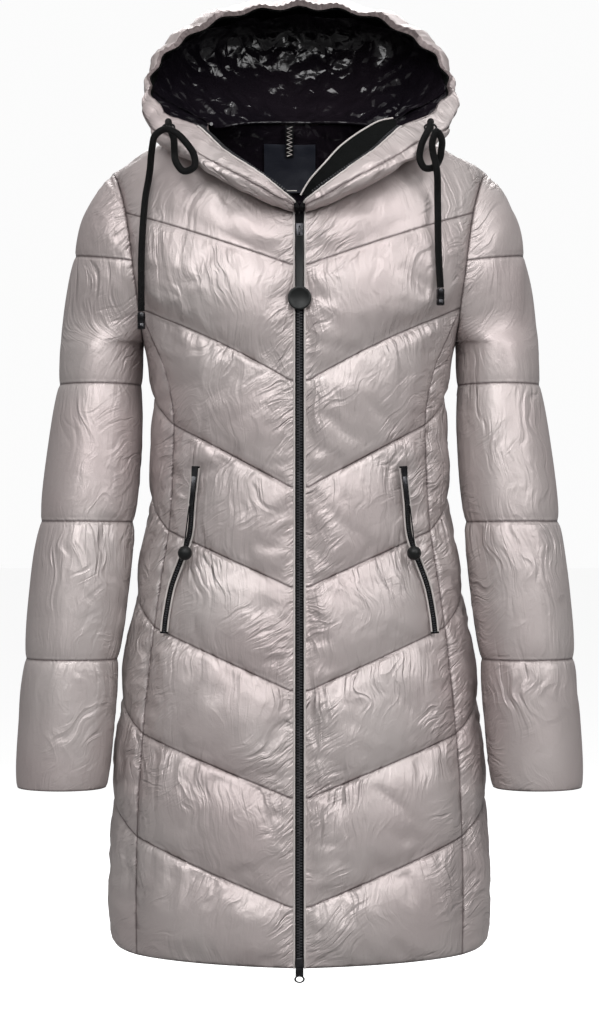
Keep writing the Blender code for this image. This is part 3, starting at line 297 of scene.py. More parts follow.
# Sleeve tube under the quilting: height, outermost x, centre y, half width, half depth.
SLEEVE = (
    (-0.679, 0.3015, -0.052, 0.0445, 0.0490),
    (-0.610, 0.2965, -0.048, 0.0445, 0.0500),
    (-0.540, 0.2925, -0.044, 0.0460, 0.0520),
    (-0.465, 0.2855, -0.038, 0.0465, 0.0530),
    (-0.392, 0.2775, -0.030, 0.0465, 0.0540),
    (-0.315, 0.2680, -0.018, 0.0440, 0.0550),
    (-0.243, 0.2595, -0.006, 0.0415, 0.0570),
    (-0.196, 0.2550, 0.000, 0.0420, 0.0600),
)
SLEEVE_LINES = (-0.679, -0.540, -0.392, -0.243)
SLEEVE_COLS = 14

# Hood and collar, one side: step round the neck seam, how far the cloth stands off the
# body there and spreads over it, the bulge's control point and the free edge (the zip
# edge up to ZIP_END, then the hood's rim).
HOOD = (
    (0, 0.008, 0.000, (0.0072, -0.133, -0.0610), (0.0062, -0.1290, -0.0550)),
    (2, 0.014, 0.006, (0.0330, -0.144, -0.0540), (0.0275, -0.1330, -0.0390)),
    (3, 0.018, 0.012, (0.0680, -0.150, -0.0400), (0.0550, -0.1270, -0.0190)),
    (4, 0.022, 0.018, (0.1060, -0.142, -0.0300), (0.0810, -0.1100, 0.0010)),
    (5, 0.019, 0.022, (0.1440, -0.124, -0.0170), (0.1085, -0.0760, 0.0300)),
    (6, 0.022, 0.027, (0.1683, -0.090, 0.0050), (0.1420, -0.0500, 0.0465)),
    (7, 0.027, 0.025, (0.1766, -0.055, 0.0350), (0.1600, -0.0260, 0.0730)),
    (8, 0.036, 0.019, (0.1702, -0.015, 0.0720), (0.1620, -0.0050, 0.0960)),
    (9, 0.045, 0.019, (0.1732, 0.035, 0.1150), (0.1480, 0.0120, 0.1230)),
    (10, 0.050, 0.020, (0.1618, 0.095, 0.1550), (0.1220, 0.0230, 0.1450)),
    (11, 0.055, 0.020, (0.1305, 0.150, 0.1900), (0.0870, 0.0310, 0.1660)),
    (12, 0.055, 0.020, (0.0768, 0.190, 0.2200), (0.0430, 0.0360, 0.1775)),
    (13, 0.055, 0.020, (0.0000, 0.205, 0.2350), (0.0000, 0.0380, 0.1800)),
)
HOOD_SPLIT = 2             # hood columns for each step of the neck seam
HOOD_ROWS = 9
FACING_ROW = 7             # the drawcord tunnel runs from this row to the rim
ZIP_END = 5                # step of HOOD where the zip edge ends
RIM_WAVE = 0.0022          # gathers along the rim

LINING_IN = 16             # hood columns the lining leaves out each side
YOKE_ROW, YOKE_IN = 29, 3   # the neck lining: first row of the back, columns left out a side
TAPE_W, TAPE_T, TAPE_GAP = 0.0038, 0.0018, 0.0004
SLIDER_Z, LOW_SLIDER_Z, SLIDER_D, SLIDER_GAP = -0.087, -0.8550, 0.0045, 0.0012
PULL_HINGE, PULL_LEAN = (0.0, -0.1284, -0.0905), math.radians(2.5)
PULL_STRAP, PULL_T, PULL_DISC, PULL_DROP = 0.0075, 0.0022, 0.025, 0.0660
RING_HINGE, RING_R = (0.0, -0.1480, -0.8590), 0.0068
POCKET_W, POCKET_T = 0.0085, 0.0012
POCKET_HINGE = (0.1115, -0.1110, -0.3438)
POCKET_LEAN, POCKET_DROP, BALL_R = 0.12, 0.082, 0.0076
LABEL_X, LABEL_Z, LABEL_T = (-0.040, 0.018), (-0.019, 0.034), 0.0008
LOOP_X, LOOP_Z = (-0.0158, -0.0068), (0.0200, 0.0540)
FLAP_T, FLAP_IN, FLAP_START = 0.0014, 0.0018, 2
# Free edge of the wind flap, one point for each hood column from FLAP_START.
FLAP = ((0.0020, -0.1180, -0.0470), (0.0070, -0.1170, -0.0380), (0.0130, -0.1160, -0.0290),
        (0.0280, -0.1130, -0.0120), (0.0420, -0.1070, 0.0040), (0.0560, -0.1000, 0.0160),
        (0.0700, -0.0860, 0.0270), (0.0860, -0.0740, 0.0370))
CORD_R, TIP_R, TIP_LENGTH, EYELET_R = 0.0037, 0.0043, 0.018, 0.0062
# Each drawcord: its route from the eyelet round the knot's loop and down, its tip, the
# eyelet's place and the way the eyelet faces.
CORDS = (
    ("left",
     ((-0.1400, -0.0818, 0.0291), (-0.1400, -0.0862, 0.0334), (-0.1396, -0.0955, 0.0338),
      (-0.1380, -0.1045, 0.0262), (-0.1331, -0.1116, 0.0126),
      (-0.1322, -0.1151, -0.0024), (-0.1302, -0.1232, -0.0127), (-0.1216, -0.1289, -0.0230),
      (-0.1106, -0.1294, -0.0182), (-0.1115, -0.1294, -0.0049), (-0.1199, -0.1289, 0.0076),
      (-0.1296, -0.1256, 0.0175), (-0.1416, -0.1204, 0.0226), (-0.1527, -0.1160, 0.0164),
      (-0.1560, -0.1086, 0.0059), (-0.1579, -0.0988, -0.0044), (-0.1593, -0.0901, -0.0148),
      (-0.1614, -0.0872, -0.0281), (-0.1636, -0.0914, -0.0414), (-0.1649, -0.0962, -0.0548),
      (-0.1668, -0.1006, -0.0832), (-0.1680, -0.1012, -0.1116), (-0.1682, -0.1012, -0.1401),
      (-0.1682, -0.0990, -0.1685)),
     (-0.1400, -0.0807, 0.0280), (0.0, -0.7, 0.7)),
    ("right",
     ((0.1400, -0.0818, 0.0291), (0.1400, -0.0862, 0.0334), (0.1396, -0.0955, 0.0338),
      (0.1380, -0.1045, 0.0262), (0.1321, -0.1158, 0.0142),
      (0.1284, -0.1159, 0.0044), (0.1270, -0.1159, -0.0076), (0.1324, -0.1156, -0.0179),
      (0.1423, -0.1130, -0.0167), (0.1483, -0.1066, -0.0081), (0.1501, -0.1101, 0.0008),
      (0.1504, -0.1175, 0.0115), (0.1451, -0.1208, 0.0199), (0.1403, -0.1201, 0.0092),
      (0.1409, -0.1173, -0.0013), (0.1433, -0.1198, -0.0116), (0.1453, -0.1196, -0.0235),
      (0.1461, -0.1135, -0.0324), (0.1464, -0.1080, -0.0413), (0.1465, -0.1106, -0.0638),
      (0.1465, -0.1146, -0.0863), (0.1471, -0.1157, -0.1102), (0.1490, -0.1160, -0.1445)),
     (0.1400, -0.0807, 0.0280), (0.0, -0.7, 0.7)),
)


def hermite(rows, key):
    """Smooth value of a table at key: rows hold a key, then one or more columns."""
    if key <= rows[0][0]:
        return rows[0][1:]
    if key >= rows[-1][0]:
        return rows[-1][1:]
    i = next(n for n in range(len(rows) - 1) if key <= rows[n + 1][0])
    span = rows[i + 1][0] - rows[i][0]
    t = (key - rows[i][0]) / span

    def slope(n, column):
        low, high = max(n - 1, 0), min(n + 1, len(rows) - 1)
        return (rows[high][column] - rows[low][column]) / (rows[high][0] - rows[low][0])

    out = []
    for column in range(1, len(rows[0])):
        a, b = rows[i][column], rows[i + 1][column]
        ma, mb = slope(i, column) * span, slope(i + 1, column) * span
        out.append(a + t * (ma + t * (3 * (b - a) - 2 * ma - mb + t * (2 * (a - b) + ma + mb))))
    return tuple(out)


def mix(a, b, t):
    return a + (b - a) * t


def ease(t):
    t = min(max(t, 0.0), 1.0)
    return t * t * (3 - 2 * t)


def bezier(a, b, c, d, t):
    s = 1 - t
    return a * s ** 3 + b * (3 * s * s * t) + c * (3 * s * t * t) + d * t ** 3


def mirrored(p):
    return Vector((-p.x, p.y, p.z))


# ---- the torso's form ----
def shoulder_z(x):
    return NECK_Z - SHOULDER_FALL * (abs(x) - NECK_X)


def torso(x, z, back=False):
    """The point of the front or back at a place in the front view."""
    half, front, rear, square = hermite(BODY, z)
    depth = rear if back else front
    across = max(0.0, 1 - min(abs(x) / half, 1) ** square) ** (1 / square)
    if z > CHEST_Z:
        lean = BACK_LEAN if back else FRONT_LEAN
        up = min((z - CHEST_Z) / (shoulder_z(x) - CHEST_Z), 1)
        across *= max(0.0, 1 - up ** lean) ** (1 / lean)
    return Vector((x, (1 if back else -1) * depth * across, z))


def ring(turn, z):
    """The point at turn degrees round from the centre front, at one height."""
    half, front, rear, square = hermite(BODY, z)
    s, c = math.sin(math.radians(turn)), math.cos(math.radians(turn))
    depth = rear if c < 0 else front
    x = math.copysign(half * abs(s) ** (2 / square), s)
    return Vector((x, -math.copysign(depth * abs(c) ** (2 / square), c), z))


def run_of(x, z, back=False):
    """Distance up the cloth, which counts the lean over the shoulder too."""
    if z <= CHEST_Z:
        return z
    lean = BACK_LEAN if back else FRONT_LEAN
    up = min((z - CHEST_Z) / (shoulder_z(x) - CHEST_Z), 1)
    return CHEST_Z + SHOULDER_RUN * math.asin(up ** (lean / 2))


def height_of(x, run, back=False):
    if run <= CHEST_Z:
        return run
    lean = BACK_LEAN if back else FRONT_LEAN
    turn = min((run - CHEST_Z) / SHOULDER_RUN, math.pi / 2)
    return CHEST_Z + (shoulder_z(x) - CHEST_Z) * math.sin(turn) ** (2 / lean)


def channel_row(row):
    """The channel that a row lies in, and how far up it."""
    return row // ROWS, CHANNEL[row % ROWS]


def seam_x(z):
    return hermite(BODY, z)[0] * SIDE_TURN


def pocket_share(z):
    """Share of the front's width at which the pocket's column runs."""
    even = (POCKET_COL - 1) / (FRONT_COLS - 1)
    low, high = POCKET[-1][0], POCKET[0][0]
    rows = tuple(reversed(POCKET))
    inside = min(max(z, low), high)
    share = (hermite(rows, inside)[0] - PLACKET_EDGE) / (seam_x(inside) - PLACKET_EDGE)
    away = max(z - high, low - z, 0.0)
    return mix(share, even, ease(away / POCKET_FADE))


def armhole(table, step):
    return Vector(hermite(table, step))


def front_grid():
    """Points of the viewer's right front, from the hem up, from the zip out."""
    corner = armhole(ARMHOLE_FRONT, ROWS)
    ends = [line[:2] for line in LINES] + [(HIGH_LINES[0][0], corner.z)]
    grid = []
    for row in range(TOP_ROW + 1):
        if row > UNDERARM_ROW:
            grid.append([high_front_point(row, col) for col in range(FRONT_COLS + 1)])
            continue
        channel, up = channel_row(row)
        low, high = ends[channel], ends[min(channel + 1, len(ends) - 1)]
        mid_z, out_z = mix(low[0], high[0], up), mix(low[1], high[1], up)
        grid.append([front_point(col, mid_z, out_z) for col in range(FRONT_COLS + 1)])
    return grid


def column_x(col, z, out_x):
    """Where a column of the front runs: one of them follows the pocket zip."""
    if col == 0:
        return ZIP_HALF
    share = (col - 1) / (FRONT_COLS - 1)
    even, wanted = (POCKET_COL - 1) / (FRONT_COLS - 1), pocket_share(z)
    if share <= even:
        share *= wanted / even
    else:
        share = mix(wanted, 1, (share - even) / (1 - even))
    return mix(PLACKET_EDGE, out_x, share)


def front_point(col, mid_z, out_z):
    """A point below the corner where the side-front seam meets the armhole."""
    out_x = seam_x(out_z)
    x = column_x(col, mix(mid_z, out_z, 0.75), out_x)
    share = max(x - PLACKET_EDGE, 0) / (out_x - PLACKET_EDGE)
    corner = armhole(ARMHOLE_FRONT, ROWS)
    swing = corner - torso(seam_x(corner.z), corner.z)
    turned = max(0.0, (out_z - SWING_Z) / (corner.z - SWING_Z)) ** 2
    return torso(x, mix(mid_z, out_z, share)) + swing * turned * share ** 3


def high_front_point(row, col):
    """A point above the corner where the side-front seam meets the armhole."""
    step = row - UNDERARM_ROW + ROWS
    end = armhole(ARMHOLE_FRONT, step)
    a_end = armhole(ARMHOLE_FRONT, 2 * ROWS)
    a_z = HIGH_LINES[1][0]
    if row <= UNDERARM_ROW + ROWS:
        up = (row - UNDERARM_ROW) / ROWS
        up = CHANNEL[(row - UNDERARM_ROW) % ROWS] if up < 1 else 1.0
        x = column_x(col, end.z, end.x)
        share = max(x - PLACKET_EDGE, 0) / (end.x - PLACKET_EDGE)
        mid_z = mix(HIGH_LINES[0][0], a_z, up)
        z = mix(mid_z, end.z, share)
        p = torso(x, z)
    else:
        up = (row - UNDERARM_ROW - ROWS) / ROWS
        if col < len(NECK_FRONT):
            top_x, top_z = NECK_FRONT[col]
        else:
            top_x = mix(NECK_X, SHOULDER_X, (col - len(NECK_FRONT) + 1) / SHOULDER_STEPS)
            top_z = shoulder_z(top_x)
        low_x = column_x(col, a_end.z, a_end.x)
        low_share = max(low_x - PLACKET_EDGE, 0) / (a_end.x - PLACKET_EDGE)
        low_run = run_of(low_x, mix(a_z, a_end.z, low_share))
        out_x = mix(low_x, top_x, up)
        share = (col / FRONT_COLS) ** 3
        x = mix(out_x, out_x + end.x - mix(a_end.x, SHOULDER_X, up), share)
        z = height_of(x, mix(low_run, run_of(top_x, top_z), up))
        p = torso(x, z)
    edge = torso(end.x, end.z)
    if row > UNDERARM_ROW + ROWS and col == FRONT_COLS:
        return end
    if row < TOP_ROW:
        p += (end - edge) * (col / FRONT_COLS) ** 4
    return p


def side_seam(row):
    """The side seam's point of a row, up to the underarm."""
    channel, up = channel_row(row)
    top = armhole(ARMHOLE_FRONT, 0)
    if row == UNDERARM_ROW:
        return top
    if channel + 1 < len(LINES):
        return ring(90, mix(LINES[channel][2], LINES[channel + 1][2], up))
    low = ring(90, LINES[channel][2])
    return low.lerp(top, up)


def side_grid(front):
    """Points of the side panel, from the side-front seam round to the side seam."""
    grid = []
    line_row = UNDERARM_ROW - ROWS
    top = [armhole(ARMHOLE_FRONT, ROWS - col) for col in range(SIDE_COLS + 1)]
    for row in range(UNDERARM_ROW + 1):
        start, end = front[row][FRONT_COLS], side_seam(row)
        if row <= line_row:
            half, _, _, square = hermite(BODY, start.z)
            first = math.degrees(math.asin(min(start.x / half, 1) ** (square / 2)))
            points = [start]
            for col in range(1, SIDE_COLS + 1):
                share = col / SIDE_COLS
                points.append(ring(mix(first, 90, share), mix(start.z, end.z, share)))
        else:
            up = channel_row(row)[1] if row < UNDERARM_ROW else 1.0
            points = []
            for col in range(SIDE_COLS + 1):
                share = col / SIDE_COLS
                line = grid[line_row]
                p = line[col].lerp(top[col], up)
                p += (start - line[0].lerp(top[0], up)) * (1 - share)
                p += (end - line[-1].lerp(top[-1], up)) * share
                points.append(p)
        grid.append(points)
    return grid


def back_middle(row):
    """The height of a row below the underarm at the centre back."""
    channel, up = channel_row(row)
    low = LINES[channel][3]
    if channel + 1 < len(LINES):
        return mix(low, LINES[channel + 1][3], up)
    return mix(low, HIGH_LINES[0][1], up * LOW_SHARE)


def back_grid():
    """Points of the whole back, from the hem up, from the left side seam round."""
    rows = UNDERARM_ROW + 3 * ROWS
    c_line = LINES[-1][3]
    half_rows = []
    for row in range(rows + 1):
        points = []
        step = row - UNDERARM_ROW
        for col in range(BACK_COLS + 1):
            share = col / BACK_COLS
            if row < UNDERARM_ROW:
                end = side_seam(row)
                z = mix(back_middle(row), end.z, share)
                half, _, _, square = hermite(BODY, z)
                p = torso(half * math.sin(math.pi / 2 * share) ** (2 / square), z, True)
                if row > UNDERARM_ROW - ROWS:
                    p += (end - ring(90, end.z)) * share ** 4
                points.append(end if col == BACK_COLS else p)
                continue
            end = armhole(ARMHOLE_BACK, step)
            even = ease(step / 5)
            fan = math.sin(math.pi / 2 * share) ** (2 / 2.3)
            x = end.x * mix(fan, share, even)
            if step <= ROWS:
                part = mix(LOW_SHARE, 1, CHANNEL[step] if step < ROWS else 1.0)
                mid_z = mix(c_line, HIGH_LINES[0][1], part)
                z = mix(mid_z, end.z, share)
            elif step <= 2 * ROWS:
                part = CHANNEL[step % ROWS] if step < 2 * ROWS else 1.0
                z = mix(mix(HIGH_LINES[0][1], HIGH_LINES[1][1], part), end.z, share)
            else:
                up = (step - 2 * ROWS) / ROWS
                a_end = armhole(ARMHOLE_BACK, 2 * ROWS)
                top = back_top(col)
                low_x = a_end.x * share
                low_run = run_of(low_x, mix(HIGH_LINES[1][1], a_end.z, share), True)
                x = mix(low_x, top[0], up) + (end.x - mix(a_end.x, SHOULDER_X, up)) * share ** 3
                z = height_of(x, mix(low_run, run_of(*top, True), up), True)
            p = torso(x, z, True)
            if col == BACK_COLS:
                p = end
            elif row < rows:
                p += (end - torso(end.x, end.z, True)) * share ** 4
            points.append(p)
        half_rows.append(points)
    return [[mirrored(p) for p in reversed(r[1:])] + r for r in half_rows]


def back_top(col):
    """The neck and shoulder edge of the back, from the centre out: x, z."""
    neck = list(reversed(NECK_BACK)) + [NECK_FRONT[-1]]
    if col < len(neck):
        return neck[col]
    x = mix(NECK_X, SHOULDER_X, (col - len(neck) + 1) / SHOULDER_STEPS)
    return x, shoulder_z(x)


# ---- the sleeve ----
def sleeve_grid():
    """Points of one sleeve, cuff up, from the underarm seam forward and round."""
    heights = []
    for low, high in zip(SLEEVE_LINES, SLEEVE_LINES[1:]):
        heights += [mix(low, high, up) for up in CHANNEL]
    heights += [SLEEVE_LINES[-1], mix(SLEEVE_LINES[-1], SLEEVE[-1][0], 0.5)]
    grid = []
    for z in heights:
        outer, mid_y, half, deep = hermite(SLEEVE, z)
        points = []
        for col in range(SLEEVE_COLS + 1):
            turn = 2 * math.pi * col / SLEEVE_COLS
            points.append(Vector((outer - half - half * math.cos(turn),
                                  mid_y - deep * math.sin(turn), z)))
        points[-1] = points[0].copy()
        grid.append(points)
    outer0, _, half0, deep0 = SLEEVE[-1][1:]
    for step in range(CAP + 1):
        front, back = armhole(ARMHOLE_FRONT, step), armhole(ARMHOLE_BACK, step)
        out_x, out_z = hermite(CAP_OUTER, step)
        inner = (front + back) / 2
        opening = math.radians(90) * ease(step / 6)
        deep = mix(deep0, abs(front.y - back.y) / 2, ease(step / 6))
        centre_x = mix((out_x + inner.x) / 2, inner.x, math.sin(opening))
        wide = out_x - centre_x
        points = []
        for col in range(SLEEVE_COLS + 1):
            share = col / SLEEVE_COLS
            turn = mix(opening, 2 * math.pi - opening, share)
            inward = max(0.0, abs(2 * share - 1)) ** 1.5
            z = mix(out_z, mix(front.z, back.z, share), inward)
            p = Vector((centre_x - wide * math.cos(turn),
                        -deep * math.sin(turn), z))
            points.append(p)
        first, last = front - points[0], back - points[-1]
        for col, p in enumerate(points):
            share = col / SLEEVE_COLS
            p += first * max(0, 1 - 2 * share) ** 3 + last * max(0, 2 * share - 1) ** 3
        if step == CAP:
            points = [front.copy() for _ in points]
        points[0], points[-1] = front.copy(), back.copy()
        grid.append(points)
    return grid


# ---- hood and collar ----
def neck_points():
    """The neck seam of one side, from the zip to the centre back."""
    points = [torso(x, z) for x, z in NECK_FRONT]
    points[-1] = Vector((NECK_X, 0, NECK_Z))
    return points + [torso(x, z, True) for x, z in NECK_BACK]


def hood_grid(body_outward):
    """Points of the hood, neck seam up, from the right zip edge round to the left."""
    neck = neck_points()
    table = [(*row[:3], *row[3], *row[4]) for row in HOOD]
    steps = (len(neck) - 1) * HOOD_SPLIT
    half = []
    for i in range(steps + 1):
        at = i / HOOD_SPLIT
        low = int(at)
        start = neck[low].lerp(neck[min(low + 1, len(neck) - 1)], at - low)
        lift, spread, *rest = hermite(table, at)
        off_body = body_outward(neck[low]).lerp(body_outward(neck[min(low + 1, len(neck) - 1)]),
                                                at - low)
        away = Vector((start.x, start.y, 0))
        over = (away - off_body * away.dot(off_body)).normalized()
        one = start + off_body * lift + over * spread
        two, rim = Vector(rest[:3]), Vector(rest[3:])
        wave = RIM_WAVE * math.cos(math.pi * i) * ease((at - ZIP_END) / 1.5)
        out = (rim - Vector((0, 0.05, 0.06))).normalized()
        column = []
        for row in range(HOOD_ROWS + 1):
            t = row / HOOD_ROWS
            column.append(bezier(start, one, two, rim, t) + out * wave * ease((t - 0.5) * 2))
        half.append(column)
    for p in half[-1]:
        p.x = 0.0
    left = [[mirrored(p) for p in column] for column in reversed(half[:-1])]
    columns = half + left
    return [[column[row] for column in columns] for row in range(HOOD_ROWS + 1)]


# ---- quilting ----
def dome(t):
    """A channel's section: steep beside the stitching and full in the middle."""
    return max(0.0, 1 - abs(2 * t - 1) ** 2.6) ** 0.6


def rolled(distance):
    return math.sqrt(max(0.0, 1 - (1 - min(distance / EDGE_ROLL, 1)) ** 2))


def along(points):
    """Distances along a row of points."""
    out = [0.0]
    for a, b in zip(points, points[1:]):
        out.append(out[-1] + (b - a).length)
    return out


def grid_mesh(grid):
    """A bmesh sheet whose points are those of a grid, row by row."""
    rows, cols = len(grid) - 1, len(grid[0]) - 1
    bm = bmesh.new()
    bmesh.ops.create_grid(bm, x_segments=cols, y_segments=rows, size=1)
    bm.verts.ensure_lookup_table()
    flat = [p for row in grid for p in row]
    for v, p in zip(bm.verts, flat):
        v.co = p
    return bm


def shell_normals(grids):
    """Outward directions of pieces, shared along their seams, as a look-up by place."""
    whole = bmesh.new()
    for grid in grids:
        bm = grid_mesh(grid)
        mesh = bpy.data.meshes.new("sheet")
        bm.to_mesh(mesh)
        bm.free()
        whole.from_mesh(mesh)
        bpy.data.meshes.remove(mesh)
    bmesh.ops.remove_doubles(whole, verts=whole.verts[:], dist=0.00005)
    bmesh.ops.recalc_face_normals(whole, faces=whole.faces[:])
    whole.normal_update()
    front = min(whole.verts, key=lambda v: v.co.y)
    turn = -1 if front.normal.y > 0 else 1
    tree = KDTree(len(whole.verts))
    normals = []
    for i, v in enumerate(whole.verts):
        tree.insert(v.co, i)
        normals.append(v.normal * turn)
    tree.balance()
    whole.free()

    def look_up(p):
        _, i, far = tree.find(p)
        return normals[i], far
    return look_up


def joined(first, second):
    """Directions of two sets of pieces, halfway between where they are sewn together."""
    def look_up(p):
        (a, far_a), (b, far_b) = first(p), second(p)
        if max(far_a, far_b) < 0.00005:
            return (a + b).normalized()
        return (a if far_a < far_b else b).copy()
    return look_up

def piece(name, mesh):
    obj = bpy.data.objects.new(name, mesh)
    bpy.context.scene.collection.objects.link(obj)
    return obj


def finished(obj, slot, node=None, body="coat"):
    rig.ride(obj, body)
    if node:
        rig.replaces(obj, *([node] if isinstance(node, str) else node))
    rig.slot(obj, slot)
    return obj


# ---- the two drawcords ----
def smooth_route(points, spacing):
    """A smooth route through the points, with even steps."""
    at = along(points)
    table = [(a, *p) for a, p in zip(at, points)]
    count = max(2, round(at[-1] / spacing))
    return [Vector(hermite(table, at[-1] * i / count)) for i in range(count + 1)]


def round_tube(name, route, radius, sides=16):
    """A closed tube round a route, with how far along and how far round each point is."""
    rows, across = [], None
    for i, p in enumerate(route):
        ahead = (route[min(i + 1, len(route) - 1)] - route[max(i - 1, 0)]).normalized()
        across = (across or ahead.orthogonal()).copy()
        across = (across - ahead * across.dot(ahead)).normalized()
        other = ahead.cross(across)
        wide = radius(i / (len(route) - 1)) if callable(radius) else radius
        rows.append([p + (across * math.cos(turn) + other * math.sin(turn)) * wide
                     for turn in (2 * math.pi * n / sides for n in range(sides + 1))])
    bm = grid_mesh(rows)
    run, turn = bm.verts.layers.float.new("run"), bm.verts.layers.float.new("turn")
    length = along(route)
    bm.verts.ensure_lookup_table()
    for n, v in enumerate(bm.verts):
        v[run], v[turn] = length[n // (sides + 1)], (n % (sides + 1)) / sides
    bmesh.ops.remove_doubles(bm, verts=bm.verts[:], dist=0.00002)
    bmesh.ops.holes_fill(bm, edges=[e for e in bm.edges if e.is_boundary], sides=sides + 2)
    return meshed(name, bm, 60)


def meshed(name, bm, sharp=40):
    bmesh.ops.recalc_face_normals(bm, faces=bm.faces[:])
    mesh = bpy.data.meshes.new(name)
    bm.to_mesh(mesh)
    bm.free()
    mesh.shade_smooth()
    mesh.set_sharp_from_angle(angle=math.radians(sharp))
    return piece(name, mesh)


def turned(name, profile, place, steps=40, sharp=40):
    """A profile of (radius, height) points spun round the local Z axis, then placed."""
    bm = bmesh.new()
    points = [bm.verts.new((r, 0, h)) for r, h in profile]
    for a, b in zip(points, points[1:]):
        bm.edges.new((a, b))
    bmesh.ops.spin(bm, geom=bm.verts[:] + bm.edges[:], cent=(0, 0, 0), axis=(0, 0, 1),
                   angle=2 * math.pi, steps=steps, use_merge=True)
    bmesh.ops.remove_doubles(bm, verts=bm.verts[:], dist=0.000005)
    bmesh.ops.transform(bm, matrix=place, verts=bm.verts[:])
    return meshed(name, bm, sharp)


def round_ring(name, radius, wire, place, oval=1.0):
    """A ring of round wire."""
    loop = [(radius + wire * math.cos(a), wire * math.sin(a))
            for a in (math.radians(d) for d in range(0, 361, 30))]
    return turned(name, loop, place @ Matrix.Diagonal((oval, 1, 1, 1)), 48, 80)


def facing_place(centre, facing):
    """Local Z turned to a direction, at a place."""
    return Matrix.Translation(centre) @ Vector(facing).to_track_quat("Z", "Y").to_matrix().to_4x4()


def trim(obj, mat, slot, node=None, body="coat"):
    obj.data.materials.append(mat)
    return finished(obj, slot, node, body)


CORD_PIECES, CORD_TIPS = {}, {}
TIP = ((0, 0), (0.72, 0), (0.94, 0.03), (1, 0.08), (1, 0.30), (0.93, 0.33), (0.93, 0.38),
       (1, 0.41), (1, 0.88), (0.96, 0.95), (0.84, 1), (0, 1))
for hand, points, eyelet, facing in CORDS:
    route = smooth_route([Vector(p) for p in points], 0.0028)
    cord = finished(round_tube("braided_cord_" + hand, route, CORD_R), "black_tape",
                    "drawcord_" + hand)
    CORD_PIECES[hand] = cord
    foot = Vector(points[-1]) - Vector((0, 0, TIP_LENGTH + 3 * LAY_GAP))
    end = turned("cord_end_" + hand, [(r * TIP_R, h * TIP_LENGTH) for r, h in TIP],
                 Matrix.Translation(foot), 32, 35)
    CORD_TIPS[hand] = finished(end, "dark_metal", "cord_tip_" + hand)
    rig.cord(cord, exit=tuple(route[0]), length=along(route)[-1], diameter=2 * CORD_R,
            far_end="fitting", stiffness="limp", lay="hanging", path=[tuple(p) for p in route],
            with_pieces=[end])


# ---- finer grids of the same panels ----
def cloth_grids():
    """The coat's panels at the solids' own points, with their outward directions."""
    right = front_grid()
    side = side_grid(right)
    back = back_grid()
    sleeve = sleeve_grid()
    on_body = shell_normals([right, flip(right), side, flip(side), back, sleeve, flip(sleeve)])
    hood = hood_grid(lambda p: on_body(p)[0])
    outward = joined(on_body, shell_normals([hood]))
    return right, side, back, sleeve, hood, outward


def flip(grid):
    return [[mirrored(p) for p in row] for row in grid]


def channel_keys(count):
    return [row // ROWS + CHANNEL[row % ROWS] for row in range(count)]


def evenly(keys, spacing):
    """Finer keys: each span of keys is cut into equal shares no longer than spacing."""
    out = []
    for a, b in zip(keys, keys[1:]):
        parts = max(1, round((b - a) / spacing))
        out += [a + (b - a) * i / parts for i in range(parts)]
    return out + [keys[-1]]


def refined(points, row_keys, col_keys, row_at, col_at):
    """A grid of vectors read at finer places, smooth both ways."""
    columns = [[(k, *row[c]) for k, row in zip(row_keys, points)] for c in range(len(col_keys))]
    lines = [[hermite(column, at) for column in columns] for at in row_at]
    out = []
    for line in lines:
        table = [(k, *p) for k, p in zip(col_keys, line)]
        out.append([Vector(hermite(table, at)) for at in col_at])
    return out


def between(values, keys, at):
    """Straight-line reading of a list of values."""
    for i in range(len(keys) - 1):
        if at <= keys[i + 1]:
            t = (at - keys[i]) / (keys[i + 1] - keys[i])
            return mix(values[i], values[i + 1], min(max(t, 0), 1))
    return values[-1]


def pressed(grid):
    """How thin the wall is, and how far the filling stands back, near armpit and neck."""
    low = [armhole(table, step / 2) for table in (ARMHOLE_FRONT, ARMHOLE_BACK)
           for step in range(2 * ROWS + 1)]
    neck = neck_points()
    neck += [a.lerp(b, 0.5) for a, b in zip(neck, neck[1:])]
    arm_tree, neck_tree = KDTree(len(low)), KDTree(len(neck))
    for tree, places in ((arm_tree, low), (neck_tree, neck)):
        for i, p in enumerate(places):
            tree.insert(p, i)
        tree.balance()
    walls, shares = [], []
    for row in grid:
        line, share = [], []
        for p in row:
            q = Vector((abs(p.x), p.y, p.z))
            arm, collar = arm_tree.find(q)[2], neck_tree.find(q)[2]
            line.append(WALL * mix(0.26, 1, ease(arm / 0.045)) * mix(0.5, 1, ease(collar / 0.03)))
            share.append(ease(arm / 0.09) * ease(collar / 0.06))
        walls.append(line)
        shares.append(share)
    return walls, shares


CREASE = 0.0019


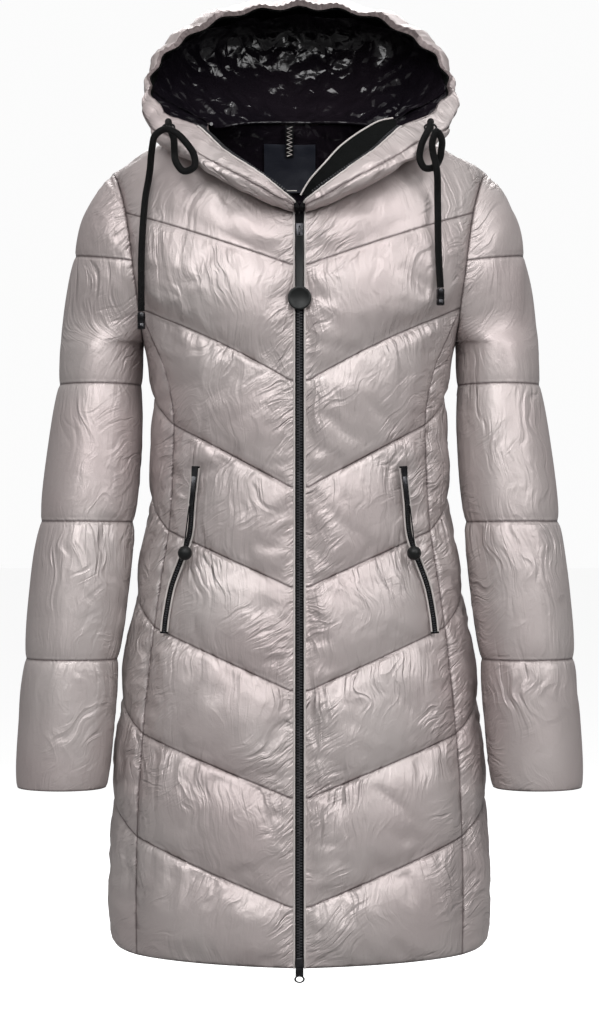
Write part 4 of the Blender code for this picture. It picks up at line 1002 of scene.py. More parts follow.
class Panel:
    """A panel's fine points, outward directions, filling heights and stitched lines."""

    def __init__(self, grid, row_keys, outward, spacing=0.0045, row_step=1 / 24):
        mid = along(grid[len(grid) // 2])
        col_keys = [max(a, i * 1e-4) for i, a in enumerate(mid)]
        self.row_at = evenly(row_keys, row_step)
        self.col_at = evenly(col_keys, spacing)
        self.points = refined(grid, row_keys, col_keys, self.row_at, self.col_at)
        ways = [[outward(p) for p in row] for row in grid]
        self.ways = [[v.normalized() for v in row]
                     for row in refined(ways, row_keys, col_keys, self.row_at, self.col_at)]
        self.cols, self.rows = len(self.col_at), len(self.row_at)
        self.col_keys = col_keys
        self.walls, self.shares = pressed(self.points)
        self.lift = [[0.0] * self.cols for _ in range(self.rows)]
        self.held = [[False] * self.cols for _ in range(self.rows)]
        self.away = [[0.1] * self.cols for _ in range(self.rows)]
        self.part = [[0.5] * self.cols for _ in range(self.rows)]
        self.run = [along(row) for row in self.points]
        ups = [along([row[j] for row in self.points]) for j in range(self.cols)]
        self.up = [[ups[j][i] for j in range(self.cols)] for i in range(self.rows)]

    def edges(self):
        for i in range(self.rows):
            for j in range(self.cols):
                if i in (0, self.rows - 1) or j in (0, self.cols - 1):
                    self.held[i][j] = True

    def stitched(self, keys):
        """Holds the rows at these keys, and measures how far each point is from them."""
        lines = [min(range(self.rows), key=lambda i: abs(self.row_at[i] - k)) for k in keys]
        for i in lines:
            self.held[i] = [True] * self.cols
        for i in range(self.rows):
            low = max([n for n in lines if n <= i], default=lines[0])
            high = min([n for n in lines if n > low], default=lines[-1])
            part = (i - low) / max(high - low, 1)
            for j in range(self.cols):
                up = self.up
                self.away[i][j] = min(abs(up[i][j] - up[n][j]) for n in (low, high))
                self.part[i][j] = part

    def folds(self, i, j, seed):
        """Height of the creases that the stitching gathers, from -1 to 1."""
        run, up = self.run[i][j], self.up[i][j]
        edge = min(run, self.run[i][-1] - run)
        sway = noise.noise(Vector((run * 9, up * 9, seed))) * 0.9
        down = noise.noise(Vector((run * 48 + sway * 1.6, up * 8 + sway, seed + 5)))
        across = noise.noise(Vector((run * 13, up * 85 + sway * 2, seed + 9)))
        part = self.part[i][j]
        near_top = ease((part - 0.25) / 0.5) * ease((1 - part) / 0.06)
        near_top *= 0.25 + 0.75 * ease(0.5 + 1.6 * noise.noise(self.points[i][j] * 9 + Vector((seed, 0, 0))))
        near_low = 0.45 * ease(1 - part / 0.45) * ease(part / 0.08)
        beside = ease(1 - edge / 0.05) * ease(edge / 0.006) * ease(self.away[i][j] / 0.012)
        return down * max(near_top, near_low) * 1.25 + across * beside * 1.3

    def outer(self, i, j, share=1.0):
        lift = self.walls[i][j] + self.lift[i][j] * self.shares[i][j] * share
        return self.points[i][j] + self.ways[i][j] * lift


def swelled(name, panel, seed, slack, pressure, frames, cap):
    """The panel's outer sheet after its spare cloth and the filling push it out."""
    start = [[panel.outer(i, j, 0.82) for j in range(panel.cols)] for i in range(panel.rows)]
    for i, row in enumerate(start):
        for j, p in enumerate(row):
            if panel.held[i][j]:
                rough = noise.noise(panel.points[i][j] * 75 + Vector((seed * 7.3, 0, 0)))
                row[j] = p + panel.ways[i][j] * rough * 0.0003
            else:
                row[j] = p + panel.ways[i][j] * panel.folds(i, j, seed) * CREASE * panel.shares[i][j]
    if QUICK:
        return start
    bm = grid_mesh(start)
    mesh = bpy.data.meshes.new(name + "_sheet")
    bm.to_mesh(mesh)
    bm.free()
    sheet = bpy.data.objects.new(name + "_sheet", mesh)
    bpy.context.scene.collection.objects.link(sheet)
    group = sheet.vertex_groups.new(name="stitched")
    flat = [panel.held[i][j] for i in range(panel.rows) for j in range(panel.cols)]
    group.add([n for n, held in enumerate(flat) if held], 1.0, "REPLACE")
    cloth = sheet.modifiers.new("Filling", "CLOTH")
    settings = cloth.settings
    settings.quality = 6
    settings.mass = 0.12
    settings.tension_stiffness = settings.compression_stiffness = 12
    settings.shear_stiffness = 4
    settings.bending_stiffness = 0.02
    settings.air_damping = 2
    settings.use_pressure = True
    facing = mesh.polygons[len(mesh.polygons) // 2]
    i, j = panel.rows // 2, panel.cols // 2
    turned = 1 if facing.normal.dot(panel.ways[i][j]) > 0 else -1
    settings.uniform_pressure_force = pressure * turned
    settings.shrink_min = -slack
    settings.vertex_group_mass = "stitched"
    settings.effector_weights.gravity = 0
    cloth.collision_settings.use_collision = False
    cloth.point_cache.frame_start, cloth.point_cache.frame_end = 1, frames
    scene = bpy.context.scene
    for n in range(1, frames + 1):
        scene.frame_set(n)
    seen = sheet.evaluated_get(bpy.context.evaluated_depsgraph_get())
    places = [v.co.copy() for v in seen.data.vertices]
    scene.frame_set(1)
    bpy.data.objects.remove(sheet)
    out = []
    for i in range(panel.rows):
        row = []
        for j in range(panel.cols):
            q = places[i * panel.cols + j]
            base, way, first = panel.points[i][j], panel.ways[i][j], start[i][j]
            moved = q - first
            height = (q - base).dot(way)
            lowest = panel.walls[i][j] * 0.75
            highest = panel.walls[i][j] + panel.lift[i][j] * panel.shares[i][j] + cap * panel.shares[i][j]
            aside = moved - way * moved.dot(way)
            if aside.length > 0.004:
                aside *= 0.004 / aside.length
            flat_place = first - way * (first - base).dot(way)
            row.append(flat_place + aside * panel.shares[i][j]
                       + way * min(max(height, lowest), highest))
        out.append(row)
    return out


def pulled(grid, tube):
    rows, cols = len(grid) - 1, len(grid[0]) - 1
    out = [[p.copy() for p in row] for row in grid]
    for i in range(rows + 1):
        for j in range(cols + 1):
            pulls = []
            if i in (0, rows):
                pulls.append(grid[1 if i == 0 else rows - 1][j] - grid[i][j])
            if j in (0, cols) and not tube(i):
                pulls.append(grid[i][1 if j == 0 else cols - 1] - grid[i][j])
            for pull in pulls:
                if pull.length > 1e-7:
                    out[i][j] += pull.normalized() * SEAM_GAP
    return out


def closed_panel(name, panel, outer, inner_drop=0.0, tube=lambda i: False):
    """A closed wall between the panel's inner points and its shaped outer points."""
    base = pulled(panel.points, tube)
    inner = [[p + w * inner_drop for p, w in zip(r, wr)] for r, wr in zip(base, panel.ways)]
    bm = grid_mesh(inner)
    place = bm.verts.layers.int.new("place")
    for n, v in enumerate(bm.verts):
        v[place] = n
    bmesh.ops.remove_doubles(bm, verts=bm.verts[:], dist=0.00005)
    for f in bm.faces:
        f.material_index = 1
    new = bmesh.ops.extrude_face_region(bm, geom=bm.faces[:])["geom"]
    flat = [(p, b, q) for pr, br, qr in zip(panel.points, base, outer)
            for p, b, q in zip(pr, br, qr)]
    for item in new:
        if isinstance(item, bmesh.types.BMVert):
            p, b, q = flat[item[place]]
            item.co = q + (b - p)
        elif isinstance(item, bmesh.types.BMFace):
            item.material_index = 0
    for f in bm.faces:
        places = {v[place] for v in f.verts}
        if len(places) < len(f.verts):
            f.material_index = 0
    bmesh.ops.recalc_face_normals(bm, faces=bm.faces[:])
    mesh = bpy.data.meshes.new(name)
    bm.to_mesh(mesh)
    bm.free()
    places = [0] * len(mesh.vertices)
    mesh.attributes["place"].data.foreach_get("value", places)
    edge = [[min(r, row[-1] - r) for r in row] for row in panel.run]
    for label, table in (("stitch_away", panel.away), ("stitch_run", panel.run),
                         ("stitch_up", panel.up), ("stitch_part", panel.part), ("seam_away", edge)):
        values = [a for row in table for a in row]
        layer = mesh.attributes.new(label, "FLOAT", "POINT")
        layer.data.foreach_set("value", [values[n] for n in places])
    mesh.attributes.remove(mesh.attributes["place"])
    mesh.shade_smooth()
    mesh.set_sharp_from_angle(angle=math.radians(70))
    return piece(name, mesh)


# ---- shared shader effects ----
def new_group(name, inputs, outputs):
    """A node group with named sockets: (name, kind, default) in, (name, kind) out."""
    tree = bpy.data.node_groups.new(name, "ShaderNodeTree")
    for label, kind, default in inputs:
        socket = tree.interface.new_socket(label, in_out="INPUT", socket_type="NodeSocket" + kind)
        if default is not None:
            socket.default_value = default
    for label, kind in outputs:
        tree.interface.new_socket(label, in_out="OUTPUT", socket_type="NodeSocket" + kind)
    start = tree.nodes.new("NodeGroupInput")
    end = tree.nodes.new("NodeGroupOutput")
    return tree, start.outputs, end.inputs


def math_node(tree, operation, a, b=None, clamp=False):
    node = tree.nodes.new("ShaderNodeMath")
    node.operation, node.use_clamp = operation, clamp
    for socket, value in zip(node.inputs, (a, b)):
        if value is None:
            continue
        if isinstance(value, (int, float)):
            socket.default_value = value
        else:
            tree.links.new(value, socket)
    return node.outputs[0]


def coordinates(tree):
    return tree.nodes.new("ShaderNodeTexCoord").outputs["Object"]


def noise_node(tree, vector, scale, detail=4.0, rough=0.55, distortion=0.0):
    node = tree.nodes.new("ShaderNodeTexNoise")
    tree.links.new(vector, node.inputs["Vector"])
    for label, value in (("Scale", scale), ("Detail", detail), ("Roughness", rough),
                         ("Distortion", distortion)):
        if isinstance(value, (int, float)):
            node.inputs[label].default_value = value
        else:
            tree.links.new(value, node.inputs[label])
    return node.outputs["Fac"]


def attribute(tree, name):
    node = tree.nodes.new("ShaderNodeAttribute")
    node.attribute_name = name
    return node.outputs["Fac"]


def stretched_folds(tree, wide, long, into, sway):
    """Long narrow folds: a noise drawn out along one direction, with sharpened ridges."""
    vector = tree.nodes.new("ShaderNodeCombineXYZ")
    turned = math_node(tree, "ADD", math_node(tree, "MULTIPLY", wide, into["Across"]),
                       math_node(tree, "MULTIPLY", sway, 6.0))
    tree.links.new(turned, vector.inputs["X"])
    tree.links.new(math_node(tree, "MULTIPLY", long, into["Along"]), vector.inputs["Y"])
    tree.links.new(math_node(tree, "MULTIPLY", sway, 2.0), vector.inputs["Z"])
    fold = noise_node(tree, vector.outputs[0], 1.0, 2.0, 0.45, 0.4)
    ridge = math_node(tree, "ABSOLUTE", math_node(tree, "SUBTRACT", fold, 0.5))
    return math_node(tree, "SUBTRACT", math_node(tree, "MULTIPLY", fold, 0.6),
                     math_node(tree, "MULTIPLY", ridge, 1.6))


def make_groups():
    groups = {}
    tree, into, out = new_group("Plain weave", [("Threads", "Float", 900.0)], [("Height", "Float")])
    vector = coordinates(tree)
    split = tree.nodes.new("ShaderNodeSeparateXYZ")
    tree.links.new(vector, split.inputs[0])
    waves = []
    for axis in ("X", "Z"):
        turned = math_node(tree, "MULTIPLY", split.outputs[axis], into["Threads"])
        waves.append(math_node(tree, "SINE", turned))
    tree.links.new(math_node(tree, "MULTIPLY", waves[0], waves[1]), out["Height"])
    groups["weave"] = tree

    tree, into, out = new_group("Soft creases", [("Scale", "Float", 60.0), ("Stretch", "Float", 1.0)],
                                [("Height", "Float")])
    vector = coordinates(tree)
    wide = noise_node(tree, vector, into["Scale"], 3.0, 0.5, 0.6)
    crease = math_node(tree, "ABSOLUTE", math_node(tree, "SUBTRACT", wide, 0.5))
    folded = math_node(tree, "POWER", math_node(tree, "MULTIPLY", crease, 2.0), into["Stretch"])
    tree.links.new(folded, out["Height"])
    groups["creases"] = tree

    # Crumpled thin cloth: flat facets that meet in sharp creases.
    tree, into, out = new_group("Crumpled facets", [("Scale", "Float", 30.0)], [("Height", "Float")])
    vector = coordinates(tree)
    bent = tree.nodes.new("ShaderNodeTexNoise")
    tree.links.new(vector, bent.inputs["Vector"])
    bent.inputs["Scale"].default_value = 20.0
    moved = tree.nodes.new("ShaderNodeVectorMath")
    moved.operation = "MULTIPLY_ADD"
    tree.links.new(bent.outputs["Color"], moved.inputs[0])
    moved.inputs[1].default_value = (0.02, 0.02, 0.02)
    tree.links.new(vector, moved.inputs[2])
    facets = tree.nodes.new("ShaderNodeTexVoronoi")
    facets.feature = "DISTANCE_TO_EDGE"
    tree.links.new(moved.outputs[0], facets.inputs["Vector"])
    tree.links.new(into["Scale"], facets.inputs["Scale"])
    swell = noise_node(tree, moved.outputs[0], math_node(tree, "MULTIPLY", into["Scale"], 0.5), 2.0, 0.5)
    tree.links.new(math_node(tree, "ADD", facets.outputs["Distance"],
                             math_node(tree, "MULTIPLY", swell, 1.5)), out["Height"])
    groups["facets"] = tree

    tree, into, out = new_group("Colour drift", [("Light", "Color", (1, 1, 1, 1)),
                                                 ("Dark", "Color", (0, 0, 0, 1)),
                                                 ("Scale", "Float", 6.0)], [("Color", "Color")])
    vector = coordinates(tree)
    drift = noise_node(tree, vector, into["Scale"], 3.0, 0.5)
    spread = tree.nodes.new("ShaderNodeMapRange")
    tree.links.new(drift, spread.inputs["Value"])
    spread.inputs["From Min"].default_value, spread.inputs["From Max"].default_value = 0.35, 0.65
    blend = tree.nodes.new("ShaderNodeMix")
    blend.data_type = "RGBA"
    tree.links.new(spread.outputs[0], blend.inputs["Factor"])
    tree.links.new(into["Dark"], blend.inputs[6])
    tree.links.new(into["Light"], blend.inputs[7])
    tree.links.new(blend.outputs[2], out["Color"])
    groups["drift"] = tree

    # Creases that run away from the stitched lines and from the seams at a channel's ends.
    tree, into, out = new_group("Gathered creases", [("Across", "Float", 150.0), ("Along", "Float", 16.0)],
                                [("Height", "Float")])
    run, up = attribute(tree, "stitch_run"), attribute(tree, "stitch_up")
    part = attribute(tree, "stitch_part")
    sway = noise_node(tree, coordinates(tree), 11.0, 2.0, 0.5)
    height = stretched_folds(tree, run, up, into, sway)
    top = math_node(tree, "MULTIPLY", math_node(tree, "SUBTRACT", part, 0.22), 1.6, True)
    low = math_node(tree, "MULTIPLY", math_node(tree, "SUBTRACT", 0.42, part), 1.3, True)
    fade = math_node(tree, "ADD", math_node(tree, "MAXIMUM", top, low), 0.15)
    patch = noise_node(tree, coordinates(tree), 8.0, 1.0, 0.5)
    bunched = math_node(tree, "MULTIPLY", math_node(tree, "SUBTRACT", patch, 0.42), 5.0, True)
    fade = math_node(tree, "MULTIPLY", fade, math_node(tree, "ADD", bunched, 0.34))
    tree.links.new(math_node(tree, "MULTIPLY", height, fade), out["Height"])
    groups["gathers"] = tree

    # Short slanting creases beside the zip and the upright seams.
    tree, into, out = new_group("Seam creases", [("Across", "Float", 150.0), ("Along", "Float", 16.0),
                                                 ("Reach", "Float", 0.05), ("Slant", "Float", 0.7)],
                                [("Height", "Float")])
    place = tree.nodes.new("ShaderNodeSeparateXYZ")
    tree.links.new(coordinates(tree), place.inputs[0])
    sway = noise_node(tree, coordinates(tree), 14.0, 2.0, 0.5)
    tilted = math_node(tree, "MULTIPLY", place.outputs["X"], into["Slant"])
    wide = math_node(tree, "SUBTRACT", place.outputs["Z"], tilted)
    height = stretched_folds(tree, wide, attribute(tree, "stitch_run"), into, sway)
    seam = math_node(tree, "DIVIDE", attribute(tree, "seam_away"), into["Reach"])
    patch = noise_node(tree, coordinates(tree), 17.0, 1.0, 0.5)
    reach = math_node(tree, "MULTIPLY", math_node(tree, "SUBTRACT", patch, 0.22), 3.6)
    fade = math_node(tree, "SUBTRACT", reach, seam, True)
    tree.links.new(math_node(tree, "MULTIPLY", height, fade), out["Height"])
    groups["seams"] = tree

    # Sewing beside the stitched lines: thread dashes, the puckers they pull in, and the groove, a mask used both as a
    # dip in the surface and as painted shade in the shell's colour.
    tree, into, out = new_group("Stitch line", [("Stitch", "Float", 0.0035), ("Width", "Float", 0.0005),
                                                ("Pucker", "Float", 0.012)],
                                [("Thread", "Float"), ("Pucker", "Float"), ("Groove and shade", "Float")])
    away, run = attribute(tree, "stitch_away"), attribute(tree, "stitch_run")
    inside = math_node(tree, "LESS_THAN", away, into["Width"])
    dash = math_node(tree, "FRACT", math_node(tree, "DIVIDE", run, into["Stitch"]))
    dashed = math_node(tree, "LESS_THAN", dash, 0.72)
    tree.links.new(math_node(tree, "MULTIPLY", inside, dashed), out["Thread"])
    waver = noise_node(tree, coordinates(tree), 55.0, 2.0, 0.5)
    turned = math_node(tree, "ADD", math_node(tree, "MULTIPLY", run, 620.0),
                       math_node(tree, "MULTIPLY", waver, 26.0))
    ripple = math_node(tree, "SINE", turned)
    near = math_node(tree, "SUBTRACT", 1.0, math_node(tree, "DIVIDE", away, into["Pucker"]), True)
    tree.links.new(math_node(tree, "MULTIPLY", ripple, math_node(tree, "MULTIPLY", near, near)),
                   out["Pucker"])
    groove_shade_mask = math_node(tree, "SUBTRACT", 1.0, math_node(tree, "DIVIDE", away, 0.0024), True)
    tree.links.new(math_node(tree, "POWER", groove_shade_mask, 1.5), out["Groove and shade"])
    groups["stitch"] = tree
    return groups


GROUPS = make_groups()


def place_group(tree, name, **values):
    node = tree.nodes.new("ShaderNodeGroup")
    node.node_tree = GROUPS[name]
    for label, value in values.items():
        node.inputs[label.replace("_", " ")].default_value = value
    return node


def surface(name, light, dark, roughness, drift=6.0, metallic=0.0, bumps=(), **sockets):
    """A material: a drifting colour, a roughness that varies, and a stack of bumps."""
    mat = bpy.data.materials.new(name)
    mat.use_nodes = True
    tree = mat.node_tree
    shader = tree.nodes["Principled BSDF"]
    colour = place_group(tree, "drift", Light=(*light, 1), Dark=(*dark, 1), Scale=drift)
    tree.links.new(colour.outputs["Color"], shader.inputs["Base Color"])
    shader.inputs["Metallic"].default_value = metallic
    for label, value in sockets.items():
        shader.inputs[label.replace("_", " ")].default_value = value
    vector = coordinates(tree)
    patch = noise_node(tree, vector, 24.0, 3.0)
    spread = tree.nodes.new("ShaderNodeMapRange")
    tree.links.new(patch, spread.inputs["Value"])
    for label, value in (("From Min", 0.3), ("From Max", 0.7), ("To Min", roughness[0]),
                         ("To Max", roughness[1])):
        spread.inputs[label].default_value = value
    tree.links.new(spread.outputs[0], shader.inputs["Roughness"])
    normal = None
    for height, strength, distance in bumps:
        bump = tree.nodes.new("ShaderNodeBump")
        bump.inputs["Strength"].default_value = strength
        bump.inputs["Distance"].default_value = distance
        tree.links.new(height(tree), bump.inputs["Height"])
        if normal:
            tree.links.new(normal, bump.inputs["Normal"])
        normal = bump.outputs["Normal"]
    if normal:
        tree.links.new(normal, shader.inputs["Normal"])
    return mat


def creases(scale, stretch=1.0):
    return lambda tree: place_group(tree, "creases", Scale=scale, Stretch=stretch).outputs[0]


def weave(threads):
    return lambda tree: place_group(tree, "weave", Threads=threads).outputs[0]


def gathers(across, length):
    return lambda tree: place_group(tree, "gathers", Across=across, Along=length).outputs[0]


def seam_creases(across, length, reach, slant=0.7):
    return lambda tree: place_group(tree, "seams", Across=across, Along=length, Reach=reach,
                                    Slant=slant).outputs[0]


def facets(scale):
    return lambda tree: place_group(tree, "facets", Scale=scale).outputs[0]


def puckers(reach=0.012):
    return lambda tree: place_group(tree, "stitch", Pucker=reach).outputs["Pucker"]


def sunk_line(tree):
    return math_node(tree, "MULTIPLY", place_group(tree, "stitch").outputs["Groove and shade"], -1.0)


def grain(scale):
    return lambda tree: noise_node(tree, coordinates(tree), scale, 5.0, 0.6)


def braid(tree):
    """Crossing strands of a round cord, from how far along and how far round it is."""
    run = math_node(tree, "MULTIPLY", attribute(tree, "run"), 2900.0)
    turn = math_node(tree, "MULTIPLY", attribute(tree, "turn"), 2 * math.pi * 8)
    one = math_node(tree, "SINE", math_node(tree, "ADD", run, turn))
    other = math_node(tree, "SINE", math_node(tree, "SUBTRACT", run, turn))
    return math_node(tree, "MAXIMUM", one, other)


def shell_material():
    mat = surface("Glossy taupe nylon", (0.475, 0.426, 0.416), (0.44, 0.378, 0.372), (0.42, 0.52),
                  drift=7.0, metallic=0.45,
                  bumps=((gathers(50, 6), 1.0, 0.0036), (gathers(135, 16), 1.0, 0.0016),
                         (seam_creases(95, 24, 0.055), 1.0, 0.0030),
                         (seam_creases(210, 46, 0.035, 0.9), 1.0, 0.0013),
                         (puckers(0.008), 0.4, 0.0004), (creases(90, 1.0), 0.30, 0.0008), (sunk_line, 0.7, 0.0010),
                         (weave(9000), 0.04, 0.0001)),
                  Specular_IOR_Level=0.5)
    tree = mat.node_tree
    shader = tree.nodes["Principled BSDF"]
    stitch = place_group(tree, "stitch")
    blend = tree.nodes.new("ShaderNodeMix")
    blend.data_type = "RGBA"
    drift_link = shader.inputs["Base Color"].links[0].from_socket
    tree.links.new(stitch.outputs["Thread"], blend.inputs["Factor"])
    tree.links.new(drift_link, blend.inputs[6])
    blend.inputs[7].default_value = (0.30, 0.26, 0.255, 1)
    # Painted shade: the colour darkens to near black in the groove of each stitched line, where shade falls.
    groove_shade_mix = tree.nodes.new("ShaderNodeMix")
    groove_shade_mix.data_type = "RGBA"
    tree.links.new(math_node(tree, "MULTIPLY", stitch.outputs["Groove and shade"], 0.85), groove_shade_mix.inputs["Factor"])
    tree.links.new(blend.outputs[2], groove_shade_mix.inputs[6])
    groove_shade_mix.inputs[7].default_value = (0.10, 0.075, 0.075, 1)
    # Painted shade: the colour darkens within 2.2 mm of every seam, standing in for the shade in the seam's crease.
    seam = tree.nodes.new("ShaderNodeMix")
    seam.data_type = "RGBA"
    near = math_node(tree, "SUBTRACT", 1.0, math_node(tree, "DIVIDE", attribute(tree, "seam_away"), 0.0022), True)
    tree.links.new(math_node(tree, "MULTIPLY", near, 0.8), seam.inputs["Factor"])
    tree.links.new(groove_shade_mix.outputs[2], seam.inputs[6])
    seam.inputs[7].default_value = (0.13, 0.10, 0.10, 1)
    tree.links.new(seam.outputs[2], shader.inputs["Base Color"])
    return mat


SHELL = shell_material()
LINING_BLACK = surface("Black taffeta lining", (0.010, 0.0075, 0.0105), (0.005, 0.004, 0.006),
                       (0.10, 0.19), bumps=((facets(24), 1.0, 0.0062), (facets(62), 0.9, 0.0021),
                                            (weave(7000), 0.05, 0.0001)), Specular_IOR_Level=0.45)
FACING_BLACK = surface("Matte black facing", (0.0022, 0.0026, 0.0025), (0.0013, 0.0016, 0.0015),
                       (0.55, 0.70), bumps=((creases(60, 1.0), 0.7, 0.0016), (weave(5200), 0.25, 0.0002)),
                       Specular_IOR_Level=0.06)
TAPE = surface("Woven black tape", (0.005, 0.005, 0.0055), (0.003, 0.003, 0.0035), (0.60, 0.75),
               bumps=((weave(6000), 0.5, 0.0003), (grain(700), 0.2, 0.0002)), Specular_IOR_Level=0.12)
CORD = surface("Braided black cord", (0.0042, 0.0042, 0.0046), (0.0024, 0.0024, 0.0026), (0.58, 0.74),
               bumps=((braid, 1.0, 0.0009), (grain(900), 0.25, 0.0002)), Specular_IOR_Level=0.2)
METAL = surface("Dark plated metal", (0.055, 0.055, 0.058), (0.028, 0.028, 0.031), (0.20, 0.34),
                drift=120.0, metallic=1.0, bumps=((grain(900), 0.15, 0.0001),))
DARK_METAL = surface("Blackened metal", (0.022, 0.022, 0.024), (0.012, 0.012, 0.013), (0.30, 0.42),
                     drift=120.0, metallic=0.6, bumps=((grain(900), 0.15, 0.0001),), Specular_IOR_Level=0.3)
TEETH = surface("Smoked zip teeth", (0.06, 0.06, 0.065), (0.03, 0.03, 0.033), (0.30, 0.42),
                drift=200.0, metallic=0.6, bumps=((grain(1200), 0.1, 0.0001),))
MOULDED = surface("Dark moulded trim", (0.0075, 0.0082, 0.0082), (0.0050, 0.0056, 0.0055), (0.36, 0.50),
                  drift=80.0, bumps=((grain(500), 0.2, 0.0002),), Specular_IOR_Level=0.26)
PIPING = surface("Pale welt piping", (0.50, 0.46, 0.445), (0.42, 0.385, 0.37), (0.30, 0.42),
                 drift=40.0, bumps=((grain(400), 0.3, 0.0002),), Sheen_Weight=0.2)
THREAD = surface("Pale sewing thread", (0.55, 0.52, 0.50), (0.46, 0.43, 0.41), (0.5, 0.65),
                 drift=300.0, bumps=((grain(2000), 0.4, 0.0001),))


# ---- the sewn panels ----
RIGHT, SIDE, BACK, SLEEVE_GRID, HOOD_GRID, OUTWARD = cloth_grids()


def edge_rolled(panel, first_free=0.0, tube=False):
    """Each row's height share: a channel falls to the seams at its two ends."""
    for i in range(panel.rows):
        run = panel.run[i]
        for j in range(panel.cols):
            near = 1.0 if tube else rolled(max(0.0, run[j] - first_free))
            far = 1.0 if tube else rolled(run[-1] - run[j])
            yield i, j, near * far


def body_channel(key):
    return CHEST_PUFF if key > len(LINES) + 1 else BODY_PUFF


def front_panel(grid, side_sign):
    panel = Panel(grid, channel_keys(len(grid)), OUTWARD)
    panel.edges()
    panel.stitched(range(len(LINES) + 3))
    placket = (PLACKET_EDGE - ZIP_HALF)
    for i, j, share in edge_rolled(panel, placket):
        key = panel.row_at[i]
        up = dome(key % 1)
        panel.lift[i][j] = body_channel(key) * up * share
    strip = min(range(panel.cols), key=lambda j: abs(panel.run[0][j] - placket))
    table = POCKET[::-1]
    low, high = table[0][0], table[-1][0]
    for i in range(panel.rows):
        panel.held[i][strip] = True
        for j in range(panel.cols):
            p = panel.points[i][j]
            inside = min(high + 0.012 - p.z, p.z - low + 0.012)
            if inside > 0:
                off = abs(abs(p.x) - hermite(table, min(max(p.z, low), high))[0])
                panel.lift[i][j] *= mix(1, min(off / 0.03, 1) ** 0.7, ease(inside / 0.02))
                if off < 0.003:
                    panel.held[i][j] = True
                    panel.lift[i][j] = max(panel.lift[i][j], 0.0012)
    return panel


def side_panel(grid):
    panel = Panel(grid, channel_keys(len(grid)), OUTWARD)
    panel.edges()
    panel.stitched(range(len(LINES) + 1))
    for i, j, share in edge_rolled(panel):
        panel.lift[i][j] = SIDE_PUFF * dome(panel.row_at[i] % 1) * share
    return panel


def back_panel(grid):
    keys = channel_keys(len(grid))
    panel = Panel(grid, keys, OUTWARD)
    panel.edges()
    lines = list(range(len(LINES))) + [len(LINES) + 1, len(LINES) + 2, len(LINES) + 3]
    panel.stitched(lines)
    for i, j, share in edge_rolled(panel):
        key = panel.row_at[i]
        t = key % 1
        if len(LINES) - 1 < key <= len(LINES):
            t = LOW_SHARE * (key - len(LINES) + 1)
        elif len(LINES) < key < len(LINES) + 1:
            t = mix(LOW_SHARE, 1, key - len(LINES))
        puff = CHEST_PUFF if key > len(LINES) + 2 else BODY_PUFF
        panel.lift[i][j] = puff * dome(t) * share
    return panel


def sleeve_panel(grid):
    tube_rows = len(SLEEVE_LINES[:-1]) * ROWS
    middle = tube_rows + 2 + CAP // 2
    keys = [row // ROWS + CHANNEL[row % ROWS] if row <= tube_rows else 0 for row in range(len(grid))]
    top = keys[tube_rows]
    for row in range(tube_rows + 1, len(grid)):
        keys[row] = top + (row - tube_rows) * 0.18
    panel = Panel(grid, keys, OUTWARD, row_step=1 / 28)
    panel.edges()
    mid_key, last_key = keys[middle], keys[-1]
    panel.stitched([0, 1, 2, 3, mid_key, last_key])
    for i, j, share in edge_rolled(panel):
        key = panel.row_at[i]
        if key <= top:
            t = key % 1
        elif key <= mid_key:
            t = (key - top) / (mid_key - top)
        else:
            t = (key - mid_key) / (last_key - mid_key)
        lift = SLEEVE_PUFF * dome(min(max(t, 0), 1))
        if key > keys[tube_rows + 2]:
            lift *= share
        panel.lift[i][j] = lift
    panel.tube_key = keys[tube_rows + 2]
    for i in range(panel.rows):
        if panel.row_at[i] <= panel.tube_key + 1e-9:
            panel.points[i][-1] = panel.points[i][0].copy()
            panel.ways[i][-1] = panel.ways[i][0].copy()
    return panel


def hood_panel(grid):
    keys = list(range(len(grid)))
    panel = Panel(grid, keys, OUTWARD, spacing=0.0045, row_step=1 / 7)
    panel.edges()
    panel.stitched([0, FACING_ROW, HOOD_ROWS])
    last = len(grid[0]) - 1
    for i in range(panel.rows):
        t = panel.row_at[i] / HOOD_ROWS
        for j in range(panel.cols):
            at = between(range(last + 1), panel.col_keys, panel.col_at[j])
            reach = min(at, last - at) / (2.5 * HOOD_SPLIT)
            panel.lift[i][j] = HOOD_PUFF * dome(t) * ease(t / 0.5) * min(1, 0.25 + 0.75 * reach)
            if panel.row_at[i] > FACING_ROW:
                gather = math.sin(panel.col_at[j] * 620 + 3 * noise.noise(
                    Vector((panel.col_at[j] * 40, 3.1, 0))))
                near = ease((t * HOOD_ROWS - FACING_ROW) * 2)
                filled = ease(0.5 + 1.5 * noise.noise(panel.points[i][j] * 16))
                panel.lift[i][j] += (0.0010 * gather + 0.0040 * filled) * near
    return panel


